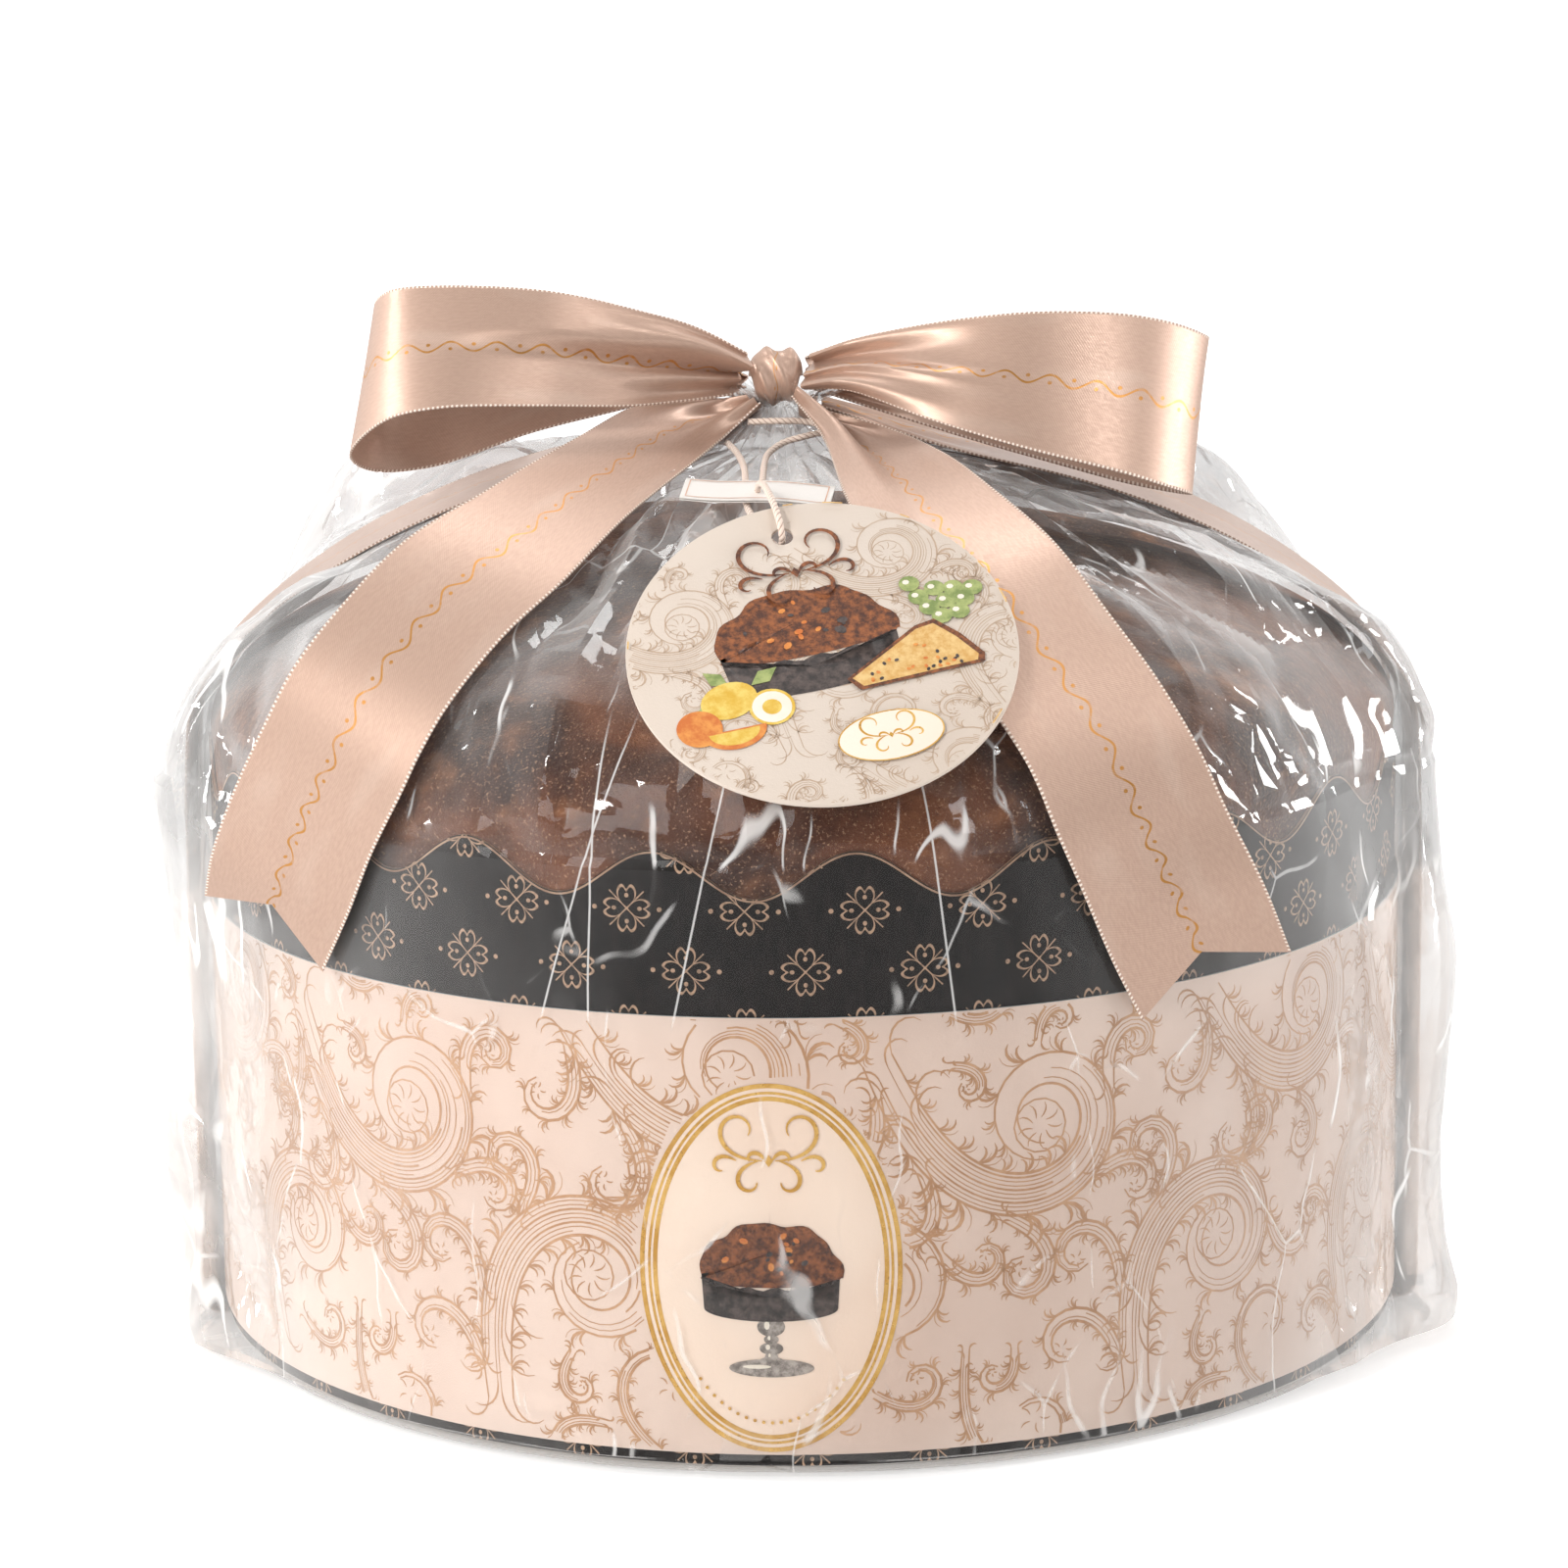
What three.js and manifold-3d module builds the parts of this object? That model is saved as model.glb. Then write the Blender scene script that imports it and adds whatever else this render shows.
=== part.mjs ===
// A large gift-wrapped panettone: a domed loaf in its paper baking mould, with a printed card sleeve,
// a clear film wrap gathered at the top, a satin ribbon with a bow, and a round tag on a string.
// Millimetres, +Z up, origin at the middle of the underside, +X to the right, -Y to the front.
import * as THREE from 'three';
import { mergeVertices } from 'three/addons/utils/BufferGeometryUtils.js';
import Module from 'manifold-3d';

const wasm = await Module();
wasm.setup();

// Driving dimensions
const TOUCH_GAP = 0.3;
const MOULD_RADIUS = 140;
const MOULD_PAPER = 0.7;
const MOULD_EDGE_MIDDLE = 135.2;
const SCALLOP_HEIGHT = 5.2;
const SCALLOPS = 20;
const SCALLOP_TURN = THREE.MathUtils.degToRad(-85.5);
const LOAF_DENT = 1.4;
const BASE_THICKNESS = 1.1;
const BAND_BOTTOM = 5.1;
const BAND_HEIGHT = 98.8;
const BAND_CARD = 0.5;
const BAND_LAP = THREE.MathUtils.degToRad(10);
const FILM_THICKNESS = 0.6;
const FILM_FOLDED_BASE = 2;
const FILM_RADIUS = 142.2;
const FILM_DOME_BASE = 138;
const FILM_DOME_HEIGHT = 69.5;
const FILM_NECK = { radius: 8, height: 213.5, x: -4, y: -7 };
const FILM_SIDE_BULGE = 9.7;
const FILM_BACK_BULGE = 10;
const FILM_STRAP_DENT = 7;
const FILM_WING = { left: 20, right: 12, turn: 24, spread: 5, from: 66, to: 145 };
const RIBBON_WIDTH = 38;
const RIBBON_THICKNESS = 0.8;
const STRAP_SIDE = 144.9;
const STRAP_CLEARANCE = 1.9;
const STRAP_CHANNEL = { width: 41, depth: 1.4 };
const TAIL_NOTCH = 9.5;
const KNOT_RADII = new THREE.Vector3(6.6, 6, 6.8);
const KNOT_CENTRE = new THREE.Vector3(-5, -10, 223);
const TAG_RADIUS = 42.5;
const TAG_CARD = 1;
const TAG_HOLE = { radius: 2.4, fromCentre: 33.9 };
const TAG_CENTRE = new THREE.Vector3(4.6, -118, 179.5);
const TAG_SLOPE = THREE.MathUtils.degToRad(38.5);
const TAG_TURN = THREE.MathUtils.degToRad(14.3);
const LABEL = { length: 34, width: 10, paper: 0.5, holeRadius: 1.5 };
const LABEL_CENTRE = new THREE.Vector3(-9.3, -60, 204.6);
const LABEL_SLOPE = THREE.MathUtils.degToRad(14);
const LABEL_TURN = THREE.MathUtils.degToRad(-9);
const STRING_DIAMETER = 1.6;
const STRING_SIDES = 8;
const STRING_STEPS = 76;

const COLOURS = {
  crust: '#5a3320',
  mouldPaper: '#241a17',
  cardBoard: '#8c7458',
  printedCard: '#e4cfc0',
  clearFilm: '#eef0f0',
  satin: '#cdaa96',
  tagCard: '#ded0c0',
  whitePaper: '#f0ece6',
  cotton: '#ecd3c2',
};

const group = new THREE.Group();

function vector([x, y, z]) {
  return new THREE.Vector3(x, y, z);
}

function addPiece(name, geometry, colour, roughness) {
  const material = new THREE.MeshStandardMaterial({ color: colour, roughness, metalness: 0 });
  const mesh = new THREE.Mesh(geometry, material);
  mesh.name = name;
  group.add(mesh);
  return mesh;
}

function geometryOf(points, triangles) {
  const geometry = new THREE.BufferGeometry();
  geometry.setAttribute('position', new THREE.Float32BufferAttribute(points.flatMap((p) => p.toArray()), 3));
  geometry.setIndex(triangles.flat());
  return geometry;
}

// A round body: rows of points from the lowest pole, over the outside, to the other pole.
function roundBody(rowCount, segments, pointAt) {
  const points = [pointAt(0, 0)];
  const triangles = [];
  for (let row = 1; row < rowCount - 1; row += 1) {
    for (let i = 0; i < segments; i += 1) {
      points.push(pointAt(row, (i / segments) * Math.PI * 2));
    }
  }
  points.push(pointAt(rowCount - 1, 0));
  const last = points.length - 1;
  const at = (row, i) => 1 + (row - 1) * segments + (i % segments);
  for (let i = 0; i < segments; i += 1) {
    triangles.push([0, at(1, i + 1), at(1, i)]);
    triangles.push([last, at(rowCount - 2, i), at(rowCount - 2, i + 1)]);
    for (let row = 1; row < rowCount - 2; row += 1) {
      triangles.push([at(row, i), at(row, i + 1), at(row + 1, i + 1)]);
      triangles.push([at(row, i), at(row + 1, i + 1), at(row + 1, i)]);
    }
  }
  return geometryOf(points, triangles);
}

// A grid of rows of the same length, closed along each row, and either closed or capped end to end.
function tubeBody(rows, closed) {
  const width = rows[0].length;
  const points = rows.flat();
  const triangles = [];
  const at = (row, i) => (row % rows.length) * width + (i % width);
  const spans = closed ? rows.length : rows.length - 1;
  for (let row = 0; row < spans; row += 1) {
    for (let i = 0; i < width; i += 1) {
      triangles.push([at(row, i), at(row, i + 1), at(row + 1, i + 1)]);
      triangles.push([at(row, i), at(row + 1, i + 1), at(row + 1, i)]);
    }
  }
  return { points, triangles, at };
}

function toManifold(geometry) {
  const bare = geometry.clone();
  bare.deleteAttribute('normal');
  bare.deleteAttribute('uv');
  const merged = mergeVertices(bare, 1e-4);
  const vertProperties = new Float32Array(merged.attributes.position.array);
  const triVerts = new Uint32Array(merged.index.array);
  return new wasm.Manifold(new wasm.Mesh({ numProp: 3, vertProperties, triVerts }));
}

function fromManifold(solid) {
  const mesh = solid.getMesh();
  const geometry = new THREE.BufferGeometry();
  geometry.setAttribute('position', new THREE.BufferAttribute(new Float32Array(mesh.vertProperties), 3));
  geometry.setIndex(new THREE.BufferAttribute(new Uint32Array(mesh.triVerts), 1));
  geometry.computeVertexNormals();
  return geometry;
}

// The loaf: straight in the mould, swelling over its edge, then a low dome with shallow dents.
function makeLoaf() {
  const floor = FILM_FOLDED_BASE + BASE_THICKNESS + 2 * TOUCH_GAP;
  const inMould = MOULD_RADIUS - MOULD_PAPER - 0.4;
  const outline = [
    [0, floor], [inMould - 3, floor], [inMould, floor + 3], [inMould, 60], [inMould, 110],
    [inMould, MOULD_EDGE_MIDDLE + SCALLOP_HEIGHT + 0.5], [139.8, 145], [138.4, 150], [135, 155],
    [129, 160.5], [119, 166.5], [105, 172.5], [88, 178.5], [68, 183.5], [45, 187.5], [22, 189.6], [0, 190.3],
  ];
  const firstDomeRow = 7;
  const pointAt = (row, turn) => {
    const [radius, height] = outline[row];
    const inDome = row >= firstDomeRow && row < outline.length - 1;
    const dent = inDome ? LOAF_DENT * (0.5 + 0.5 * Math.sin(5 * turn + row * 0.8)) : 0;
    return new THREE.Vector3(radius * Math.cos(turn), radius * Math.sin(turn), height - dent);
  };
  addPiece('loaf', roundBody(outline.length, 60, pointAt), COLOURS.crust, 0.9);
}

function makeMouldWall() {
  const bottom = FILM_FOLDED_BASE + TOUCH_GAP;
  const segments = SCALLOPS * 6;
  const rows = [];
  for (let i = 0; i < segments; i += 1) {
    const turn = (i / segments) * Math.PI * 2;
    const edge = MOULD_EDGE_MIDDLE + SCALLOP_HEIGHT * Math.cos(SCALLOPS * (turn - SCALLOP_TURN));
    const ring = (radius, height) => new THREE.Vector3(radius * Math.cos(turn), radius * Math.sin(turn), height);
    const inside = MOULD_RADIUS - MOULD_PAPER;
    rows.push([ring(inside, bottom), ring(inside, edge), ring(MOULD_RADIUS, edge), ring(MOULD_RADIUS, bottom)]);
  }
  const { points, triangles } = tubeBody(rows, true);
  addPiece('mould_wall', geometryOf(points, triangles), COLOURS.mouldPaper, 0.8);
}

function makeMouldBase() {
  const radius = MOULD_RADIUS - MOULD_PAPER - 0.4;
  const disc = new THREE.CylinderGeometry(radius, radius, BASE_THICKNESS, 72);
  const base = addPiece('mould_base', disc, COLOURS.cardBoard, 0.9);
  base.rotation.x = Math.PI / 2;
  base.position.z = FILM_FOLDED_BASE + TOUCH_GAP + BASE_THICKNESS / 2;
}

// The card sleeve: one strip round the mould, its end lapped over its start at the back.
function makePaperBand() {
  const start = Math.PI / 2 + BAND_LAP / 2;
  const sweep = Math.PI * 2 + BAND_LAP;
  const steps = 90;
  const inner = MOULD_RADIUS + TOUCH_GAP;
  const stripRadius = (travelled) => {
    const climb = THREE.MathUtils.smoothstep(travelled, Math.PI * 2 - BAND_LAP, Math.PI * 2 - BAND_LAP * 0.2);
    return inner + climb * (BAND_CARD + TOUCH_GAP);
  };
  const outline = [];
  for (let i = 0; i <= steps; i += 1) {
    const travelled = (i / steps) * sweep;
    const radius = stripRadius(travelled);
    outline.push(new THREE.Vector2(radius * Math.cos(start + travelled), radius * Math.sin(start + travelled)));
  }
  for (let i = steps; i >= 0; i -= 1) {
    const travelled = (i / steps) * sweep;
    const radius = stripRadius(travelled) + BAND_CARD;
    outline.push(new THREE.Vector2(radius * Math.cos(start + travelled), radius * Math.sin(start + travelled)));
  }
  const strip = new THREE.ExtrudeGeometry(new THREE.Shape(outline), { depth: BAND_HEIGHT, bevelEnabled: false });
  const band = addPiece('paper_band', strip, COLOURS.printedCard, 0.5);
  band.position.z = BAND_BOTTOM;
}

function bump(value, middle, spread) {
  return Math.exp(-(((value - middle) / spread) ** 2));
}

// How far the film's upright side stands from the axis: pressed in by the strap at the left and right,
// puffed beside it at the front, and fuller at the back where the sheet is lapped.
function filmSide(turn) {
  const degrees = THREE.MathUtils.radToDeg(turn);
  const sides = bump(degrees, 343, 7) + bump(degrees, 197, 7);
  return FILM_RADIUS + FILM_SIDE_BULGE * sides + FILM_BACK_BULGE * bump(degrees, 90, 30);
}

// The gathered top: a dome that dips under the strap and rises into a fin of film behind it.
function filmTop(turn, angle, thickness) {
  const side = filmSide(turn) - thickness;
  const radius = side * Math.cos(angle);
  const part = radius / FILM_RADIUS;
  const shift = (1 - Math.min(part, 1)) ** 2;
  const x = radius * Math.cos(turn) + FILM_NECK.x * shift;
  const y = radius * Math.sin(turn) + FILM_NECK.y * shift;
  const degrees = THREE.MathUtils.radToDeg(turn);
  const rightWing = FILM_WING.right * bump(degrees, FILM_WING.turn, FILM_WING.spread);
  const leftWing = FILM_WING.left * bump(degrees, 180 - FILM_WING.turn, FILM_WING.spread);
  const along = THREE.MathUtils.clamp((radius - FILM_WING.from) / (FILM_WING.to - FILM_WING.from), 0, 1);
  const lift = (leftWing + rightWing) * Math.sin(Math.PI * along);
  const underStrap = Math.exp(-((y / 30) ** 4));
  const dent = FILM_STRAP_DENT * underStrap * part ** 1.5 * (1 - Math.min(part, 1) ** 12);
  const height = FILM_DOME_BASE + (FILM_DOME_HEIGHT - thickness) * Math.sin(angle) + lift - dent;
  return new THREE.Vector3(x, y, height);
}

function filmRing(turn, inset, height) {
  const radius = filmSide(turn) - inset;
  return new THREE.Vector3(radius * Math.cos(turn), radius * Math.sin(turn), height);
}

function neckRing(turn, inset) {
  const radius = FILM_NECK.radius - inset;
  return new THREE.Vector3(
    FILM_NECK.x + radius * Math.cos(turn),
    FILM_NECK.y + radius * Math.sin(turn),
    FILM_NECK.height,
  );
}

function makeFilmWrap() {
  const domeRows = 10;
  const steepest = THREE.MathUtils.degToRad(83);
  const rows = [() => new THREE.Vector3(0, 0, 0), (turn) => filmRing(turn, 1.5, 0)];
  rows.push((turn) => filmRing(turn, 0, 1.5));
  rows.push((turn) => filmRing(turn, 0, 60));
  for (let i = 0; i <= domeRows; i += 1) {
    rows.push((turn) => filmTop(turn, (i / domeRows) * steepest, 0));
  }
  rows.push((turn) => neckRing(turn, 0));
  rows.push((turn) => neckRing(turn, FILM_THICKNESS));
  for (let i = domeRows; i >= 0; i -= 1) {
    rows.push((turn) => filmTop(turn, (i / domeRows) * steepest, FILM_THICKNESS));
  }
  rows.push((turn) => filmRing(turn, FILM_THICKNESS, 60));
  rows.push((turn) => filmRing(turn, FILM_THICKNESS, FILM_FOLDED_BASE));
  rows.push(() => new THREE.Vector3(0, 0, FILM_FOLDED_BASE));
  const shell = roundBody(rows.length, 72, (row, turn) => rows[row](turn));
  const channelBox = new THREE.BoxGeometry(400, STRAP_CHANNEL.width, 2 * STRAP_CHANNEL.depth);
  const wrap = toManifold(shell).subtract(toManifold(channelBox));
  addPiece('film_wrap', fromManifold(wrap), COLOURS.clearFilm, 0.1);
}

// A flat ribbon between two edges, each given by points along it. A notch cuts a V into its far end.
function ribbonBody(edgeA, edgeB, steps, notch) {
  const curveA = new THREE.CatmullRomCurve3(edgeA.map(vector));
  const curveB = new THREE.CatmullRomCurve3(edgeB.map(vector));
  const places = [];
  for (let i = 0; i <= steps; i += 1) {
    if (notch === 0 || i !== steps - 1) {
      places.push(i / steps);
    }
  }
  const rows = places.map((place) => {
    const a = curveA.getPoint(place);
    const b = curveB.getPoint(place);
    const middle = a.clone().add(b).multiplyScalar(0.5);
    const along = curveA.getTangent(place).add(curveB.getTangent(place)).normalize();
    const face = b.clone().sub(a).cross(along).normalize().multiplyScalar(RIBBON_THICKNESS / 2);
    if (notch > 0 && place === 1) {
      middle.addScaledVector(along, -notch);
    }
    const front = [a, middle, b].map((p) => p.clone().add(face));
    const back = [b, middle, a].map((p) => p.clone().sub(face));
    return [...front, ...back];
  });
  const { points, triangles, at } = tubeBody(rows, false);
  const end = rows.length - 1;
  triangles.push([at(0, 1), at(0, 0), at(0, 5)], [at(0, 1), at(0, 5), at(0, 4)]);
  triangles.push([at(0, 2), at(0, 1), at(0, 4)], [at(0, 2), at(0, 4), at(0, 3)]);
  triangles.push([at(end, 0), at(end, 1), at(end, 5)], [at(end, 1), at(end, 4), at(end, 5)]);
  triangles.push([at(end, 1), at(end, 2), at(end, 4)], [at(end, 2), at(end, 3), at(end, 4)]);
  return geometryOf(points, triangles);
}

// The strap lies on the film from the knot down both sides and runs under the base.
function makeStrap() {
  const underside = RIBBON_THICKNESS / 2;
  const widest = RIBBON_WIDTH / 2;
  const steepest = 75;
  const step = 7.5;
  const side = (turn, sign) => {
    const path = [[FILM_NECK.x + sign * (FILM_NECK.radius + 1), FILM_NECK.height + 1.2, 5]];
    for (let degrees = steepest; degrees >= 0; degrees -= step) {
      const place = filmTop(turn, THREE.MathUtils.degToRad(degrees), -STRAP_CLEARANCE);
      path.push([place.x, place.z, Math.min(widest, 5 + 0.3 * Math.abs(place.x - FILM_NECK.x - 10 * sign))]);
    }
    const fold = [[0, 110], [0, 60], [0, 12], [0, 5], [0.5, 2.4], [2.2, 0.8], [5, underside], [20, underside]];
    fold.push([70, underside]);
    fold.forEach(([inset, height]) => path.push([sign * (STRAP_SIDE - inset), height, widest]));
    return path;
  };
  const path = [...side(Math.PI, -1), [0, underside, widest], ...side(0, 1).reverse()];
  const back = path.map(([x, z, reach]) => [x, reach, z]);
  const front = path.map(([x, z, reach]) => [x, -reach, z]);
  const strap = ribbonBody(front, back, 2 * (path.length - 1), 0);
  addPiece('ribbon_strap', strap, COLOURS.satin, 0.4);
}

function makeLoops() {
  const leftTop = [
    [-12.3, -12, 229], [-25, -14, 235], [-37, -17, 238.8], [-58, -22, 244.8], [-81, -20, 246.5],
    [-93.2, -15, 245], [-98, -4, 239.5], [-93, 9, 235], [-80, 16, 234], [-60, 17, 236], [-38, 12, 234],
    [-22, 3, 229], [-12.3, -5, 226.5],
  ];
  const leftBottom = [
    [-12.3, -12, 219], [-25.5, -20, 219.5], [-37, -27, 220], [-58, -36, 221.4], [-82, -38, 221],
    [-94, -33, 217.6], [-103.6, -20, 207.5], [-99, -8, 201.5], [-85, 0, 201.2], [-63, 4, 208],
    [-44, 2, 213], [-26, 0, 217.4], [-12.3, -5, 219.5],
  ];
  const rightTop = [
    [2.3, -12, 228], [12.9, -14, 232.4], [31, -20, 236.9], [53, -24, 239.2], [76, -22, 238],
    [88, -17, 234.8], [95.5, -8, 230.5], [92, 5, 229], [78, 11, 230], [58, 12, 232], [37, 8, 232],
    [14, 0, 228], [2.3, -5, 226.5],
  ];
  const rightBottom = [
    [2.3, -12, 220.5], [12.9, -18, 220.3], [30.5, -32, 215.4], [52.5, -43, 210.4], [74.5, -45, 204.8],
    [84, -41, 201], [90, -33, 197.8], [86, -26, 197.2], [76, -22, 198.7], [60, -18, 202.7], [40, -10, 207.5],
    [16, -4, 214.5], [2.3, -5, 219.5],
  ];
  addPiece('bow_loop_left', ribbonBody(leftTop, leftBottom, 48, 0), COLOURS.satin, 0.4);
  addPiece('bow_loop_right', ribbonBody(rightTop, rightBottom, 48, 0), COLOURS.satin, 0.4);
}

function makeTails() {
  const leftUpper = [
    [-12.5, -10, 218.2], [-32, -2, 217], [-52, -32, 212], [-71, -58, 205], [-88, -74, 197],
    [-102, -87, 184.5], [-112, -93, 172.5], [-118.5, -94.5, 160.5], [-126, -91, 145], [-132, -85.5, 129.5],
    [-135, -76, 117],
  ];
  const leftLower = [
    [-8.5, -14, 217], [-15.5, -20, 211.5], [-39.5, -67, 199.8], [-52, -88, 190.3], [-65, -99.5, 180.3],
    [-77, -109.5, 167], [-83, -113, 157.5], [-87.5, -114.5, 148.5], [-94.5, -111, 134.5], [-100.5, -106, 119.5],
    [-107, -99, 105],
  ];
  const rightLower = [
    [-1.5, -14.5, 217], [6, -33, 209.5], [10.5, -64, 203.3], [17, -89, 195.2], [30, -111, 182.7],
    [39, -124, 170.5], [48.5, -132, 156.5], [54.5, -134.7, 142], [59.5, -133, 130], [66.5, -129.5, 112.5],
    [73, -126, 98.5],
  ];
  const rightUpper = [
    [3, -11, 218], [19.5, -17, 214.4], [31, -39.5, 211.6], [41, -62, 207], [56.5, -88.5, 197],
    [67, -102, 184.5], [77.5, -112, 171], [86, -119, 157], [92, -119.5, 143.5], [100, -119, 127],
    [106.5, -113, 110],
  ];
  const steps = 22;
  addPiece('ribbon_tail_left', ribbonBody(leftUpper, leftLower, steps, TAIL_NOTCH), COLOURS.satin, 0.4);
  addPiece('ribbon_tail_right', ribbonBody(rightUpper, rightLower, steps, TAIL_NOTCH), COLOURS.satin, 0.4);
}

function makeKnot() {
  const knot = addPiece('bow_knot', new THREE.SphereGeometry(1, 20, 14), COLOURS.satin, 0.4);
  knot.scale.copy(KNOT_RADII);
  knot.position.copy(KNOT_CENTRE);
}

function makeTag() {
  const card = new THREE.Shape().absarc(0, 0, TAG_RADIUS, 0, Math.PI * 2);
  card.holes.push(new THREE.Path().absarc(0, TAG_HOLE.fromCentre, TAG_HOLE.radius, 0, Math.PI * 2));
  const disc = new THREE.ExtrudeGeometry(card, { depth: TAG_CARD, bevelEnabled: false, curveSegments: 30 });
  disc.translate(0, 0, -TAG_CARD / 2);
  const tag = addPiece('hang_tag', disc, COLOURS.tagCard, 0.6);
  tag.position.copy(TAG_CENTRE);
  tag.rotation.set(TAG_SLOPE, 0, TAG_TURN);
}

function makeLabel() {
  const { length, width, paper, holeRadius } = LABEL;
  const strip = new THREE.Shape([
    new THREE.Vector2(-length / 2, -width / 2),
    new THREE.Vector2(length / 2, -width / 2),
    new THREE.Vector2(length / 2, width / 2),
    new THREE.Vector2(-length / 2, width / 2),
  ]);
  strip.holes.push(new THREE.Path().absarc(0, 0, holeRadius, 0, Math.PI * 2));
  const sheet = new THREE.ExtrudeGeometry(strip, { depth: paper, bevelEnabled: false, curveSegments: 10 });
  sheet.translate(0, 0, -paper / 2);
  const label = addPiece('strip_label', sheet, COLOURS.whitePaper, 0.7);
  label.position.copy(LABEL_CENTRE);
  label.rotation.set(LABEL_SLOPE, 0, LABEL_TURN);
}

// The string: round the front of the neck, down through the label and the tag's hole, and back behind both.
function makeString() {
  const route = [
    [-11.5, -15.5, 213.2], [-5, -17.2, 213.6], [1.5, -16.6, 213.3], [5.6, -17.8, 212.4], [6, -20.4, 211.6],
    [2.5, -22.3, 211], [-3, -24, 209.8], [-6.6, -29, 208.3], [-7.8, -38, 206.9], [-8.2, -47, 205],
    [-8.8, -54.5, 203.3], [-9.3, -59.2, 203.8], [-9.2, -62.5, 206], [-8.2, -70, 208.2], [-6.8, -80, 208],
    [-5.4, -88, 206.2], [-4.2, -92.6, 203], [-3.8, -92.4, 200.1], [-4.2, -89.2, 197.4], [-6, -83, 197],
    [-9, -74, 199.2], [-11.6, -63, 201.7], [-12, -52, 204.1], [-12.4, -40, 206.6], [-14.2, -29, 208.4],
    [-16.4, -20.5, 209.2],
  ];
  const section = new THREE.Shape();
  for (let i = 0; i < STRING_SIDES; i += 1) {
    const angle = (i / STRING_SIDES) * Math.PI * 2;
    const x = (STRING_DIAMETER / 2) * Math.cos(angle);
    const y = (STRING_DIAMETER / 2) * Math.sin(angle);
    if (i === 0) {
      section.moveTo(x, y);
    } else {
      section.lineTo(x, y);
    }
  }
  const path = new THREE.CatmullRomCurve3(route.map(vector));
  const tube = new THREE.ExtrudeGeometry(section, { steps: STRING_STEPS, extrudePath: path, bevelEnabled: false });
  addPiece('tag_string', tube, COLOURS.cotton, 0.9);
}

makeLoaf();
makeMouldWall();
makeMouldBase();
makePaperBand();
makeFilmWrap();
makeStrap();
makeKnot();
makeLoops();
makeTails();
makeTag();
makeLabel();
makeString();

export default group;
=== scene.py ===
"""A gift-wrapped panettone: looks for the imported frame.

A dark domed loaf stands in a scalloped paper mould with a printed card band round it. A sheet of
clear film is gathered over it and tied with one satin ribbon, whose bow carries a round card tag
and a folded strip label on a cotton string. Metres, +Z up, front towards -Y.
"""

from __future__ import annotations

import logging
import math
import random
from collections.abc import Callable, Sequence
from dataclasses import dataclass, field
from enum import Enum
from functools import lru_cache

import bmesh
import bpy
import numpy as np
from mathutils import Matrix, Vector, noise


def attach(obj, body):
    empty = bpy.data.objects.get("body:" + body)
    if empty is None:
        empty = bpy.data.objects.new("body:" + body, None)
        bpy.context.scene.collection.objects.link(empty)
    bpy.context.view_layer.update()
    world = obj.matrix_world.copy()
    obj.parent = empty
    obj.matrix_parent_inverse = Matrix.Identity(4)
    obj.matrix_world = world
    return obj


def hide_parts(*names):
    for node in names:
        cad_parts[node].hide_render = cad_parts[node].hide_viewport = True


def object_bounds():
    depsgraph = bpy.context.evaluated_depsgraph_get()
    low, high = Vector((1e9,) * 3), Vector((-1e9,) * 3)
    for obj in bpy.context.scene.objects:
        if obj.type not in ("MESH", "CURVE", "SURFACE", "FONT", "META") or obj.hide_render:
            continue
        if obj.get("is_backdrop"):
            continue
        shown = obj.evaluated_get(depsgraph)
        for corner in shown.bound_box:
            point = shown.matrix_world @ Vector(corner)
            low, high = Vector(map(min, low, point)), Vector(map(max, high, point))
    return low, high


LOG = logging.getLogger("panettone")
MM = 0.001
BODY = "root"
TILE_WIDTH = 147.0
TILE_HEIGHT = 98.8
FINE_STEPS = 600
Socket = bpy.types.NodeSocket
Material = bpy.types.Material
Piece = bpy.types.Object
Colour = tuple[float, float, float]
Point = tuple[float, float, float]
Plan = tuple[float, float]
FULL_TURN = 2 * math.pi


def hex_colour(text: str) -> Colour:
    """Linear light of a screen colour written as six hex digits.

    Args:
        text: The colour, such as "cdaa96".

    Returns:
        Red, green and blue from 0 to 1.
    """
    parts = [int(text[i : i + 2], 16) / 255 for i in (0, 2, 4)]
    light = [c / 12.92 if c <= 0.04045 else ((c + 0.055) / 1.055) ** 2.4 for c in parts]
    return light[0], light[1], light[2]


def smoothstep(value: float, low: float, high: float) -> float:
    """A soft step from 0 at low to 1 at high."""
    share = min(max((value - low) / (high - low), 0.0), 1.0)
    return share * share * (3 - 2 * share)


def bump_at(value: float, middle: float, spread: float) -> float:
    """A bell of height 1 at middle."""
    return math.exp(-(((value - middle) / spread) ** 2))


def polar(radius: float, turn: float, height: float = 0.0) -> Vector:
    """A place at a turn round the upright axis."""
    return Vector((radius * math.cos(turn), radius * math.sin(turn), height))


def add_object(name: str, data: bpy.types.ID) -> Piece:
    """Adds an object that shows some data to the scene."""
    made = bpy.data.objects.new(name, data)
    bpy.context.scene.collection.objects.link(made)
    return made


# ---------------------------------------------------------------- node trees


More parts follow.
